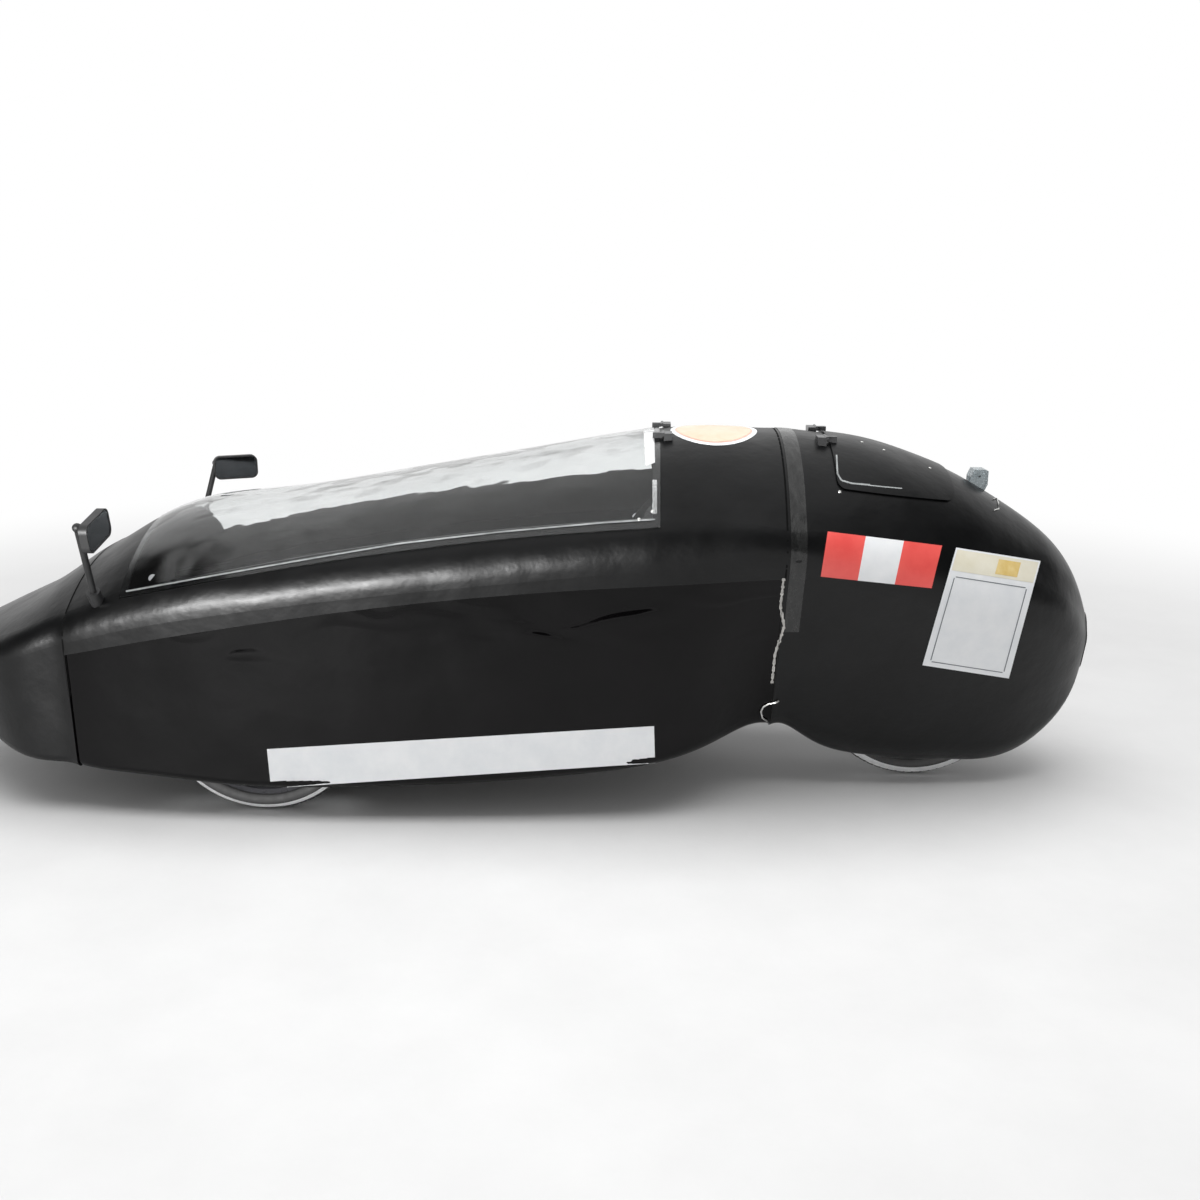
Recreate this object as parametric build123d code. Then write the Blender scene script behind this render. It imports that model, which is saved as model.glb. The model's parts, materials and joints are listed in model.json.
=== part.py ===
from build123d import *
import math
import os

# A three-wheeled pedal car with a closed shell: two steered wheels in front, one driven wheel behind.
# Millimetres. +X runs rearward, +Y to the rider's right, +Z up, origin on the floor under the middle.

# Places along the vehicle
length = 2930.0
nose_overhang = 920.0
wheelbase = 1596.0
tail_overhang = length - nose_overhang - wheelbase
front_axle = nose_overhang - length / 2
rear_axle = front_axle + wheelbase

# Wheels and tyres
tyre_radius = 250.0
tyre_width = 47.0
tyre_depth = 41.0
rim_well = 6.0
rim_depth = 21.0
rim_bevel = 7.0
rim_flange_radius = tyre_radius - tyre_depth
rim_seat_radius = rim_flange_radius - rim_well
rim_inner_radius = rim_flange_radius - rim_depth
rim_width = 26.0
rim_flange = 2.5
spoke_count = 20
spoke_diameter = 2.6
flange_thickness = 3.0
flange_overlap = 5.0
drum_radius = 50.0
drum_inner = 20.0
drum_shoulder = 12.0
front_hub_end = 26.0
front_hub_nose = 20.0
front_flange_rise = 6.0
front_flanges = (-18.5, 9.5)
rear_hub_radius = 21.0
rear_hub_width = 134.0
rear_flange_rise = 11.0
rear_flanges = (-34.0, 28.0)
axle_radius = 7.5
axle_end = 9.0
nut_radius = 13.0
nut_height = 7.0

# Front suspension and steering
half_track = 283.0
kingpin_offset = 68.0
kingpin_radius = 10.0
head_radius = 18.0
head_height = 70.0
beam_diameter = 32.0
beam_drop = 5.0
lug_radius = 15.0
lug_height = 8.0
upright_half_width = 18.0
upright_near = 5.0
upright_far = 13.0
brake_near = 27.0
brake_far = 21.0
stub_boss_diameter = 30.0
stub_collar = 6.0
stub_collar_rise = 5.0
arm_length = 90.0
arm_z = tyre_radius - 54.0
arm_thickness = 8.0
arm_width = 20.0
link_pin_radius = 4.0
link_pin_end = 3.0
link_diameter = 12.0
eye_radius = 10.0
eye_height = 16.0
bar_x = front_axle + 300.0
bar_z = tyre_radius - 12.0
bar_half_width = 262.0
bar_diameter = 20.0
bar_pin_radius = 8.0
bar_pin_rise = 24.0
boss_wall = 8.0
boss_drop = 32.0
boss_rise = 14.0
grip_radius = 16.0
grip_length = 96.0
# Handlebar from the grip's end to the middle. Columns: place behind the steering pin,
# place outside the half width, height above the bar's middle
bar_line = [(110, 6, 134), (36, 0, 0), (0, -60, 0)]
bar_bends = [45, 40, 40, 45]

# Frame
tube_diameter = 45.0
tube_bend = 150.0
step_x = front_axle + 50.0
step_z = tyre_radius + 25.0
keel_start = front_axle + 240.0
keel_end = rear_axle - 896.0
keel_z = tyre_radius - 100.0
tube_end = rear_axle - 476.0
tube_end_z = tyre_radius + 80.0
stay_diameter = 22.0
stay_spread = 80.0
stay_end = 26.0
stay_rise = 4.0
hoop_diameter = 28.0
hoop_x = rear_axle - 596.0
hoop_rise = 33.4286
hoop_bend_z = 600.0
hoop_bar_z = 590.0
hoop_top_z = 845.0
hoop_half_width = 258.0
hoop_crown_half = 160.0
hoop_bends = [120, 90, 90, 120]
dropout = 6.0
dropout_radius = 18.0
dropout_reach = 40.0
dropout_low = 16.0
dropout_high = 20.0
mount_half_length = 25.0
mount_half_width = 34.0
mount_rise = 6.0
mount_places = (front_axle + 330.0, rear_axle - 876.0)

# Drive
crank_x = front_axle - 400.0
crank_z = 345.0
crank_length = 150.0
shell_width = 68.0
shell_wall = 9.0
spindle_radius = 12.0
spindle_end = 30.0
crank_boss = 36.0
crank_boss_half = 7.0
crank_half_height = 11.0
crank_half_width = 6.0
crank_eye = 13.0
pedal_pin = 12.0
pedal_pin_length = 74.0
pedal_middle = 42.0
pedal_half_length = 14.0
pedal_half_width = 30.0
pedal_half_height = 42.0
chainring_radius = 88.0
sprocket_radius = 34.0
idler_radius = 28.0
chain_y = 48.0
chain_height = 9.0
chain_width = 8.0
ring_thickness = 4.0
idler_x = rear_axle - 1156.0
lower_idler_z = keel_z + 56.0
upper_idler_z = keel_z + 112.0
idler_pin_radius = 6.0
idler_pin_end = 10.0
bracket_half_length = 12.0
bracket_near = 28.0
bracket_far = 33.0
bracket_foot = 30.0

# Seat
seat_half_width = 185.0
seat_thickness = 5.0
wing_height = 46.0
pad_thickness = 28.0
pad_gap = 0.3
pad_side_gap = 1.0
seat_z = 268.0
seat_mount_x = rear_axle - 1036.0
seat_mount_half_length = 20.0
seat_mount_half_width = 30.0
seat_mount_foot = 10.0
# The seat's line from its front edge to its top: distance ahead of the rear axle and height
seat_line = [(1166, 304), (1091, seat_z), (956, seat_z), (631, 668)]
seat_bends = [60, 150]

# Body panels
wall = 4.0
lap_gap = 0.5
crease_lap = 22.0
sheet = 3.0
sheet_lap = 16.0
lid = 4.0
lid_lap = 14.0

# Clearances
fit_gap = 0.05
end_gap = 0.5
seat_gap = 0.3
side_gap = 1.0

# Each row is one cross-section of the outer skin, with these columns: place behind the front axle,
# top, half width of the flat crown, half width at the shoulder, shoulder height,
# half width at the floor, floor height, reach of the rounding at the shoulder and at the floor.
# The rows run from nose to tail. The nose keeps its distance from the nose's tip, the tail's end
# from the tail's tip, and what lies between the seat and the tail from the rear axle.
tail_seam = wheelbase - 381
tail_reach = wheelbase + tail_overhang
hull_rows = [
    (40 - nose_overhang, 350, 60, 104, 322, 88, 276, 16, 16),
    (100 - nose_overhang, 382, 98, 182, 342, 158, 246, 26, 22),
    (200 - nose_overhang, 430, 138, 264, 372, 234, 198, 36, 26),
    (-570, 502, 168, 342, 424, 330, 140, 40, 22),
    (-424, 594, 184, 358, 474, 352, 122, 42, 22),
    (-200, 700, 196, 380, 542, 374, 98, 56, 26),
    (50, 728, 200, 392, 588, 380, 82, 60, 26),
    (400, 790, 200, 392, 632, 374, 92, 60, 26),
    (750, 852, 200, 392, 668, 360, 118, 60, 26),
    (wheelbase - 666, 882, 202, 390, 684, 345, 142, 62, 28),
    (wheelbase - 516, 890, 202, 386, 684, 266, 168, 60, 34),
    (tail_seam, 886, 198, 376, 674, 168, 172, 50, 56),
    (wheelbase - 196, 868, 186, 352, 636, 128, 84, 70, 80),
    (wheelbase + 4, 808, 158, 306, 584, 112, 58, 80, 80),
    (wheelbase + 184, 712, 118, 238, 520, 88, 54, 70, 76),
    (tail_reach - 120, 630, 80, 172, 470, 62, 104, 56, 60),
    (tail_reach - 45, 534, 44, 100, 420, 38, 196, 36, 34),
    (tail_reach - 10, 443, 19, 44, 380, 17, 290, 16, 14),
]
nose_tip_z = 312.0
tail_tip_z = 366.0
nose_seam = -424
nose_end, tail_end = hull_rows[0][0], hull_rows[-1][0]
crown_share = 0.92
slant_share = 0.94


def row_at(station):
    """Section between the given ones, each column following a smooth curve that never overshoots."""
    places = [row[0] for row in hull_rows]
    index = max(1, min(len(places) - 1, sum(place < station for place in places)))
    width = places[index] - places[index - 1]
    share = (station - places[index - 1]) / width
    values = [station]
    for column in range(1, len(hull_rows[0])):
        slopes = []
        for here in (index - 1, index):
            steps = []
            for low in (here - 1, here):
                if 0 <= low < len(places) - 1:
                    rise = hull_rows[low + 1][column] - hull_rows[low][column]
                    steps.append(rise / (places[low + 1] - places[low]))
            level = steps[0] * steps[-1] <= 0
            slopes.append(0.0 if level else 2 * steps[0] * steps[-1] / (steps[0] + steps[-1]))
        start, end = hull_rows[index - 1][column], hull_rows[index][column]
        ease = share * share * (3 - 2 * share)
        bend = slopes[0] * share * (1 - share) ** 2 - slopes[1] * share * share * (1 - share)
        values.append(start + (end - start) * ease + width * bend)
    return values


def rows_between(first, last, count):
    return [row_at(first + (last - first) * index / count) for index in range(count + 1)]


nose_rows = rows_between(nose_end, nose_seam, 6)
body_rows = rows_between(nose_seam, tail_seam, 12)
tail_rows = rows_between(tail_seam, tail_end, 10)

# Rising lines in the side view: start, middle and end, as distance behind the front axle and height
crease_line = [(nose_seam, 404), (400, 546), (tail_seam, 598)]
canopy_line = [(-286, 538), (325, 652), (wheelbase - 660, 717)]
hatch_corners = [(wheelbase - 261, 790), (wheelbase + 26, 748)]
hatch_round = 22.0
hatch_top = 1000.0
lid_rows = 8
lid_hang = 90.0
overhead = 1400.0

# Openings in the floor for the wheels: play beside the tyre, trim from the tyre's radius at each end, top
rear_slot_side = 14.0
rear_slot_trim = 20.0
rear_slot_top = 120.0
front_slot_half_width = 71.0
front_slot_trim = 18.0
front_slot_top = 130.0
front_slot_inset = 5.0
slot_start = -10.0


def section_runs(row, inset):
    """Crown, shoulder and chine of half a section, each as start, middle and end of its arc."""
    top, crown_half, shoulder_half, shoulder_z, floor_half, floor_z, shoulder_reach, chine_reach = row[1:]
    points = [
        Vector(0, top),
        Vector(crown_half, top),
        Vector(shoulder_half, shoulder_z),
        Vector(floor_half, floor_z),
        Vector(0, floor_z),
    ]
    slant = (points[2] - points[1]).length
    crown_reach = min(crown_share * crown_half, slant_share * (slant - shoulder_reach))
    reaches = [crown_reach, shoulder_reach, chine_reach]
    runs = []
    for index, reach in zip((1, 2, 3), reaches):
        before = (points[index] - points[index - 1]).normalized()
        after = (points[index + 1] - points[index]).normalized()
        inward = Vector(before.Y, -before.X), Vector(after.Y, -after.X)
        corner = points[index] + (inward[0] + inward[1]) * (inset / (1 + inward[0].dot(inward[1])))
        half_turn = math.acos(before.dot(after)) / 2
        radius = reach / math.tan(half_turn) - inset
        reach = radius * math.tan(half_turn)
        depth = radius / math.cos(half_turn) - radius
        middle = corner + (after - before).normalized() * depth
        runs.append((corner - before * reach, middle, corner + after * reach))
    return runs


def mirrored(point):
    return Vector(-point.X, point.Y)


def placed(row, pieces):
    """Wire at a row's place from lines and arcs given as Y and Z."""
    x = front_axle + row[0]
    edges = []
    for piece in pieces:
        points = [Vector(x, point.X, point.Y) for point in piece]
        edges.append(Line(*points) if len(points) == 2 else ThreePointArc(*points))
    return Wire(edges)


def across(half):
    """A half outline carried on over the middle to the other side."""
    bridge = (half[-1][-1], mirrored(half[-1][-1]))
    other = [tuple(mirrored(point) for point in reversed(piece)) for piece in reversed(half)]
    return half + [bridge] + other


def side_point(runs, z):
    """Place on the straight side at a height."""
    upper, lower = runs[1][2], runs[2][0]
    return upper + (lower - upper) * ((z - upper.Y) / (lower.Y - upper.Y))


def upper_half(row, inset, z):
    runs = section_runs(row, inset)
    edge = side_point(runs, z)
    shoulder = (runs[1][2], runs[1][1], runs[1][0])
    crown = (runs[0][2], runs[0][1], runs[0][0])
    return [(edge, runs[1][2]), shoulder, (runs[1][0], runs[0][2]), crown]


def lower_half(row, inset, z):
    runs = section_runs(row, inset)
    return [(side_point(runs, z), runs[2][0]), runs[2]]


def closed_wire(row, inset):
    """Whole outline of a section."""
    runs = section_runs(row, inset)
    half = [runs[0], (runs[0][2], runs[1][0]), runs[1], (runs[1][2], runs[2][0]), runs[2]]
    pieces = across(half)
    pieces.append((pieces[-1][-1], pieces[0][0]))
    return placed(row, pieces)


def wall_wire(row, inset, thickness, z, half_outline):
    """Outline of an open wall that ends at a height on both sides."""
    outer = across(half_outline(row, inset, z))
    inner = [tuple(reversed(piece)) for piece in reversed(across(half_outline(row, inset + thickness, z)))]
    ends = [(outer[-1][-1], inner[0][0])], [(inner[-1][-1], outer[0][0])]
    return placed(row, outer + ends[0] + inner + ends[1])


def outward(solid):
    """The same solid with its faces pointing out."""
    return solid if solid.volume > 0 else Solid(solid.wrapped.Reversed())


def line_height(line, x, drop=0.0):
    """Height of a rising line at a place, as a parabola through its three points."""
    (x0, z0), (x1, z1), (x2, z2) = line
    first = z0 * (x - x1) * (x - x2) / ((x0 - x1) * (x0 - x2))
    second = z1 * (x - x0) * (x - x2) / ((x1 - x0) * (x1 - x2))
    third = z2 * (x - x0) * (x - x1) / ((x2 - x0) * (x2 - x1))
    return first + second + third - drop


def above_line(line, end_trim, drop):
    """Everything above a rising line and between its ends, each moved inward by the trim."""
    (x0, z0), (x1, z1), (x2, z2) = line
    trimmed = (x0 + end_trim, z0), (x1, z1), (x2 - end_trim, z2)
    points = [Vector(front_axle + x, 0, z - drop) for x, z in trimmed]
    ends = [Vector(points[2].X, 0, overhead), Vector(points[0].X, 0, overhead)]
    edges = [ThreePointArc(*points), Line(points[2], ends[0]), Line(*ends), Line(ends[1], points[0])]
    return extrude(Face(Wire(edges)), 2 * half_track, both=True)


def slab(x0, x1, y0, y1, z0, z1):
    """Block between the given limits along the three axes."""
    return Pos((x0 + x1) / 2, (y0 + y1) / 2, (z0 + z1) / 2) * Box(x1 - x0, y1 - y0, z1 - z0)


def rod(start, end, diameter):
    """Straight round bar between two places."""
    start, end = Vector(*start), Vector(*end)
    return extrude(Plane(origin=start, z_dir=end - start) * Circle(diameter / 2), (end - start).length)


def tube(points, diameter, bends):
    """Round bar along straight runs joined by tangent arcs."""
    path = FilletPolyline(*points, radius=bends)
    return sweep(Plane(origin=path @ 0, z_dir=path % 0) * Circle(diameter / 2), path=path)


def disc(x, y, z, radius, width, bore=0.0):
    """Round disc about an axle along Y, centred at the given place, with a bore if it has one."""
    face = Circle(radius) - Circle(bore) if bore else Circle(radius)
    return extrude(Plane(origin=(x, y + width / 2, z), z_dir=(0, -1, 0)) * face, width)


def post(x, y, z0, z1, radius, bore=0.0):
    """Upright post or sleeve between two heights."""
    face = Circle(radius) - Circle(bore) if bore else Circle(radius)
    return extrude(Plane(origin=(x, y, z0)) * face, z1 - z0)


def revolved(x, y, z, profile):
    """Ring about an axle along Y, from a closed profile drawn as offset along the axle and radius."""
    face = Plane(origin=(x, y, z), x_dir=(0, 1, 0), z_dir=(1, 0, 0)) * profile
    return revolve(face, axis=Axis((x, y, z), (0, 1, 0)))


def joined(shapes):
    """Separate solids of several shapes kept together."""
    return Compound(children=[solid for shape in shapes for solid in shape.solids()])


def saved(name, shape):
    parts = shape.solids()
    export_step(parts[0] if len(parts) == 1 else joined([shape]), f"parts/{name}.step")


# Body panels


def skin(rows, inset):
    """One stretch of the body as a solid, its skin moved inward by the inset."""
    return outward(Solid.make_loft([closed_wire(row, inset) for row in rows]))


tip_steps = (0.0, 0.3, 0.55, 0.75, 0.9, 0.97)


def tip(row, tip_place, tip_z):
    """Rounded solid end that closes a shell past its last section."""
    wires = []
    for reach in tip_steps:
        size = math.sqrt(1 - reach * reach)
        station = row[0] + (tip_place - row[0]) * reach
        heights = [tip_z + (z - tip_z) * size for z in (row[1], row[4], row[6])]
        scaled = [station, heights[0], row[2] * size, row[3] * size, heights[1], row[5] * size, heights[2]]
        wires.append(closed_wire(scaled + [row[7] * size, row[8] * size], 0))
    wires.append(Vertex(front_axle + tip_place, 0, tip_z))
    return outward(Solid.make_loft(wires, True))


def nose_shell():
    shell = skin(nose_rows, 0) - skin(nose_rows, wall)
    return shell + tip(nose_rows[0], -nose_overhang, nose_tip_z)


def tail_shell():
    shell = skin(tail_rows, 0) - skin(tail_rows, wall)
    shell += tip(tail_rows[-1], tail_reach, tail_tip_z)
    half_width, half_length = tyre_width / 2 + rear_slot_side, tyre_radius - rear_slot_trim
    shell -= wheel_slot(rear_axle, 0, half_width, half_length, rear_slot_top)
    return shell - hatch_space(lid_lap)


def hatch_space(trim):
    """Everything under the hatch lid's outline in the side view, moved inward by the trim."""
    (start, start_z), (end, end_z) = hatch_corners
    x0, x1 = front_axle + start + trim, front_axle + end - 2 * trim
    points = [(x0, 0, hatch_top), (x0, 0, start_z + trim), (x1, 0, end_z + trim), (x1, 0, hatch_top)]
    sides = FilletPolyline(*points, radius=hatch_round - trim / 2)
    return extrude(Face(Wire([*sides.edges(), Line(points[-1], points[0])])), half_track, both=True)


def wheel_slot(x, y, half_width, half_length, z_top):
    """Opening with round ends in a floor, for a wheel to reach through."""
    face = SlotOverall(2 * half_length, 2 * half_width)
    return extrude(Plane(origin=(x, y, slot_start)) * face, z_top - slot_start)


def upper_skin(inset, thickness):
    """Crown, shoulders and upper sides between the two seams, down to the crease."""
    wires = []
    for row in body_rows:
        wires.append(wall_wire(row, inset, thickness, line_height(crease_line, row[0]), upper_half))
    return outward(Solid.make_loft(wires))


def upper_shell():
    return upper_skin(0, wall) - above_line(canopy_line, sheet_lap, -sheet_lap)


def lower_shell():
    """Side panels and floor, tucked behind the upper shell's edge and open under the front wheels."""
    wires = []
    for row in body_rows:
        top = line_height(crease_line, row[0]) + crease_lap
        wires.append(wall_wire(row, wall + lap_gap, wall, top, lower_half))
    shell = outward(Solid.make_loft(wires))
    for side in (-1, 1):
        y, half_length = side * (half_track - front_slot_inset), tyre_radius - front_slot_trim
        shell -= wheel_slot(front_axle, y, front_slot_half_width, half_length, front_slot_top)
    return shell


def canopy_sheet():
    """Clear sheet that lies over the opening's edge all round."""
    return upper_skin(-sheet - lap_gap, sheet) & above_line(canopy_line, 0, 0)


def hatch_lid():
    wires = []
    for row in tail_rows[:lid_rows]:
        wires.append(wall_wire(row, -lid - lap_gap, lid, row[4] - lid_hang, upper_half))
    lid_skin = outward(Solid.make_loft(wires))
    return lid_skin & hatch_space(0)


# Frame


def main_tube_path(diameter):
    """Bar along the frame tube's line, from the cranks down to the keel and up to the rear stays."""
    points = [
        (crank_x, 0, crank_z),
        (step_x, 0, step_z),
        (keel_start, 0, keel_z),
        (keel_end, 0, keel_z),
        (tube_end, 0, tube_end_z),
    ]
    return tube(points, diameter, [tube_bend] * 3)


def main_tube():
    """Frame tube with the crank housing across its front end and the steering pin on the keel."""
    body = main_tube_path(tube_diameter)
    body += disc(crank_x, 0, crank_z, spindle_radius + shell_wall, shell_width)
    body -= disc(crank_x, 0, crank_z, spindle_radius + fit_gap, 2 * shell_width)
    body += post(bar_x, 0, keel_z, bar_z - eye_height - boss_drop, bar_pin_radius + boss_wall)
    body += post(bar_x, 0, keel_z, bar_z + bar_pin_rise, bar_pin_radius)
    return body


def front_beam():
    z = tyre_radius
    reach = half_track - kingpin_offset
    beam = rod((front_axle, -reach, z - beam_drop), (front_axle, reach, z - beam_drop), beam_diameter)
    for side in (-1, 1):
        beam += post(front_axle, side * reach, z - head_height / 2, z + head_height / 2, head_radius)
    for side in (-1, 1):
        beam -= post(front_axle, side * reach, z - head_height, z + head_height, kingpin_radius + fit_gap)
    return beam - main_tube_path(tube_diameter)


def roll_hoop():
    """Hoop behind the seat, standing on a cross bar that rests on the rising tube."""
    slope = (tube_end_z - keel_z) / (tube_end - keel_end)
    foot_z = keel_z + (hoop_x - keel_end) * slope + hoop_rise
    side = hoop_half_width
    points = [(hoop_x, -side, foot_z), (hoop_x, -side, hoop_bend_z), (hoop_x, -hoop_crown_half, hoop_top_z)]
    points += [(x, -y, z) for x, y, z in reversed(points)]
    hoop = tube(points, hoop_diameter, hoop_bends)
    hoop += rod((hoop_x, -side, foot_z), (hoop_x, side, foot_z), hoop_diameter)
    hoop += rod((hoop_x, -side, hoop_bar_z), (hoop_x, side, hoop_bar_z), stay_diameter)
    return hoop - main_tube_path(tube_diameter)


def rear_stays():
    """Two stays from the frame tube's end to plates that hold the rear axle."""
    stays = rod((tube_end, -stay_spread, tube_end_z), (tube_end, stay_spread, tube_end_z), stay_diameter)
    for side in (-1, 1):
        y = side * stay_spread
        end = rear_axle - stay_end, y, tyre_radius + stay_rise
        stays += rod((tube_end, y, tube_end_z), end, stay_diameter)
        plate_y = side * (rear_hub_width / 2 + end_gap + dropout / 2)
        low, high = plate_y - dropout / 2, plate_y + dropout / 2
        z0, z1 = tyre_radius - dropout_low, tyre_radius + dropout_high
        stays += slab(rear_axle - dropout_reach, rear_axle, low, high, z0, z1)
        stays += disc(rear_axle, plate_y, tyre_radius, dropout_radius, dropout)
        stays -= disc(rear_axle, plate_y, tyre_radius, axle_radius, 4 * dropout)
    return stays - main_tube_path(tube_diameter)


def rear_axle_pin():
    half = rear_hub_width / 2 + end_gap + dropout
    tip_y = half + axle_end
    pin = rod((rear_axle, -tip_y, tyre_radius), (rear_axle, tip_y, tyre_radius), 2 * axle_radius)
    for side in (-1, 1):
        nut_plane = Plane(origin=(rear_axle, side * half, tyre_radius), z_dir=(0, side, 0))
        pin += extrude(nut_plane * RegularPolygon(nut_radius, 6), nut_height)
    return pin


def shell_mounts():
    """Two saddles between the keel and the floor."""
    space = skin(body_rows, 2 * wall + lap_gap + seat_gap)
    mounts = None
    for x in mount_places:
        x0, x1 = x - mount_half_length, x + mount_half_length
        block = slab(x0, x1, -mount_half_width, mount_half_width, 0, keel_z + mount_rise) & space
        block -= main_tube_path(tube_diameter)
        mounts = block if mounts is None else mounts + block
    return mounts


# Seat


def seat_path():
    return FilletPolyline(*[(rear_axle - ahead, z) for ahead, z in seat_line], radius=seat_bends)


def seat_band(start, thickness, half_width):
    """Strip that follows the seat's line between two heights above it, extruded across the seat."""
    base = seat_path().wire()
    band = Face(base.offset_2d(start + thickness, side=Side.LEFT, closed=True))
    if start:
        band -= Face(base.offset_2d(start, side=Side.LEFT, closed=True))
    face = Plane(origin=(0, half_width, 0), x_dir=(1, 0, 0), z_dir=(0, -1, 0)) * band
    return extrude(face, 2 * half_width)


def seat_shell():
    shell = seat_band(0, seat_thickness, seat_half_width)
    for side in (-1, 1):
        wing = seat_band(0, wing_height, seat_thickness / 2)
        shell += Pos(0, side * (seat_half_width - seat_thickness / 2), 0) * wing
    return shell


def seat_pad():
    return seat_band(seat_thickness + pad_gap, pad_thickness, seat_half_width - seat_thickness - pad_side_gap)


def seat_mounts():
    """Block between the keel and the seat's pan."""
    x0, x1 = seat_mount_x - seat_mount_half_length, seat_mount_x + seat_mount_half_length
    half = seat_mount_half_width
    block = slab(x0, x1, -half, half, keel_z + seat_mount_foot, seat_z - seat_gap)
    return block - main_tube_path(tube_diameter)


# Wheels


def tyre(x, y):
    half, centre = tyre_width / 2, tyre_radius - tyre_width / 2
    seat, flange = rim_seat_radius + seat_gap, rim_flange_radius + seat_gap
    bead = rim_width / 2 - rim_flange - seat_gap
    foot = math.sqrt(half**2 - (centre - flange) ** 2)
    corners = [(-foot, flange), (-bead, flange), (-bead, seat), (bead, seat), (bead, flange), (foot, flange)]
    edges = [Line(a, b) for a, b in zip(corners, corners[1:])]
    edges.append(ThreePointArc((foot, flange), (half * 0.9997, centre), (0, tyre_radius)))
    edges.append(ThreePointArc((0, tyre_radius), (-half * 0.9997, centre), (-foot, flange)))
    return revolved(x, y, tyre_radius, Face(Wire(edges)))


def rim(x, y):
    half, seat = rim_width / 2, rim_seat_radius
    corners = [
        (-half, rim_flange_radius), (-half + rim_flange, rim_flange_radius), (-half + rim_flange, seat),
        (half - rim_flange, seat), (half - rim_flange, rim_flange_radius), (half, rim_flange_radius),
        (half, seat - rim_well), (half - rim_bevel, rim_inner_radius),
        (rim_bevel - half, rim_inner_radius), (-half, seat - rim_well),
    ]
    return revolved(x, y, tyre_radius, make_face(Polyline(*corners, close=True)))


def spokes(x, y, flanges):
    """Straight spokes to the rim's middle, in turn from each flange. Columns: side offset, radius."""
    bars = []
    rim_end = rim_inner_radius - seat_gap
    for index in range(spoke_count):
        offset, radius = flanges[index % 2]
        angle = 2 * math.pi * index / spoke_count
        way_x, way_z = math.cos(angle), math.sin(angle)
        start = x + radius * way_x, y + offset, tyre_radius + radius * way_z
        end = x + rim_end * way_x, y, tyre_radius + rim_end * way_z
        bars.append(rod(start, end, spoke_diameter))
    return bars


def front_hub(side):
    """Drum brake hub of a front wheel with its flanges and spokes."""
    y, bore = side * half_track, axle_radius + fit_gap
    outline = [
        (-drum_inner, drum_radius), (drum_shoulder, drum_radius), (front_hub_end, front_hub_nose),
        (front_hub_end, bore), (-drum_inner, bore),
    ]
    profile = make_face(Polyline(*[(side * offset, radius) for offset, radius in outline], close=True))
    hub = revolved(front_axle, y, tyre_radius, profile)
    outer, inner = drum_radius + front_flange_rise, drum_radius - flange_overlap
    for offset in front_flanges:
        hub += disc(front_axle, y + side * offset, tyre_radius, outer, flange_thickness, inner)
    spoke_radius = drum_radius + front_flange_rise / 2
    return hub + spokes(front_axle, y, [(side * offset, spoke_radius) for offset in front_flanges])


def rear_hub():
    hub = disc(rear_axle, 0, tyre_radius, rear_hub_radius, rear_hub_width, axle_radius + fit_gap)
    outer, inner = rear_hub_radius + rear_flange_rise, rear_hub_radius - flange_overlap
    for offset in rear_flanges:
        hub += disc(rear_axle, offset, tyre_radius, outer, flange_thickness, inner)
    spoke_radius = outer - flange_thickness
    return hub + spokes(rear_axle, 0, [(offset, spoke_radius) for offset in rear_flanges])


def rear_sprocket():
    radius = sprocket_radius - chain_height / 2 - side_gap
    body = disc(rear_axle, chain_y, tyre_radius, radius, ring_thickness)
    return body - disc(rear_axle, chain_y, tyre_radius, rear_hub_radius + seat_gap, 2 * ring_thickness)


# Steering


def knuckle(side):
    """Steering knuckle: kingpin between two lugs, stub axle, brake plate and steering arm."""
    pin_y = side * (half_track - kingpin_offset)

    def out(distance):
        return pin_y + side * distance

    def block(x0, x1, near, far, z0, z1):
        low, high = sorted((out(near), out(far)))
        return slab(front_axle + x0, front_axle + x1, low, high, z0, z1)

    def stub(far, diameter):
        return rod((front_axle, out(near), tyre_radius), (front_axle, out(far), tyre_radius), diameter)

    low, high = tyre_radius - head_height / 2 - end_gap, tyre_radius + head_height / 2 + end_gap
    foot, top = low - lug_height, high + lug_height
    near, far = head_radius + upright_near, head_radius + upright_far
    arm_low, arm_high = arm_z - arm_thickness / 2, arm_z + arm_thickness / 2
    body = post(front_axle, pin_y, foot, top, kingpin_radius)
    body += post(front_axle, pin_y, high, top, lug_radius)
    body += block(-lug_radius, lug_radius, 0, far, high, top)
    body += post(front_axle, pin_y, arm_low, low, lug_radius)
    body += block(-lug_radius, lug_radius, 0, far, foot, low)
    body += block(-upright_half_width, upright_half_width, near, far, foot, top)
    brake = kingpin_offset - brake_near, kingpin_offset - brake_far
    hub_end = kingpin_offset + front_hub_end + end_gap
    body += stub(hub_end + stub_collar, 2 * axle_radius)
    body += stub(brake[1], stub_boss_diameter)
    brake_middle, brake_width = (brake[0] + brake[1]) / 2, brake[1] - brake[0]
    body += disc(front_axle, out(brake_middle), tyre_radius, drum_radius - 2 * side_gap, brake_width)
    collar_radius = axle_radius + stub_collar_rise
    body += disc(front_axle, out(hub_end + stub_collar / 2), tyre_radius, collar_radius, stub_collar)
    body += block(0, arm_length, -arm_width / 2, arm_width / 2, arm_low, arm_high)
    arm_x = front_axle + arm_length
    body += post(arm_x, pin_y, arm_low, arm_high, arm_width / 2)
    pin_reach = eye_height + 2 * end_gap + link_pin_end
    body += post(arm_x, pin_y, arm_low - pin_reach, arm_low, link_pin_radius)
    if side < 0:
        body += post(arm_x, pin_y, arm_high, arm_high + pin_reach, link_pin_radius)
    return body


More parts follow.
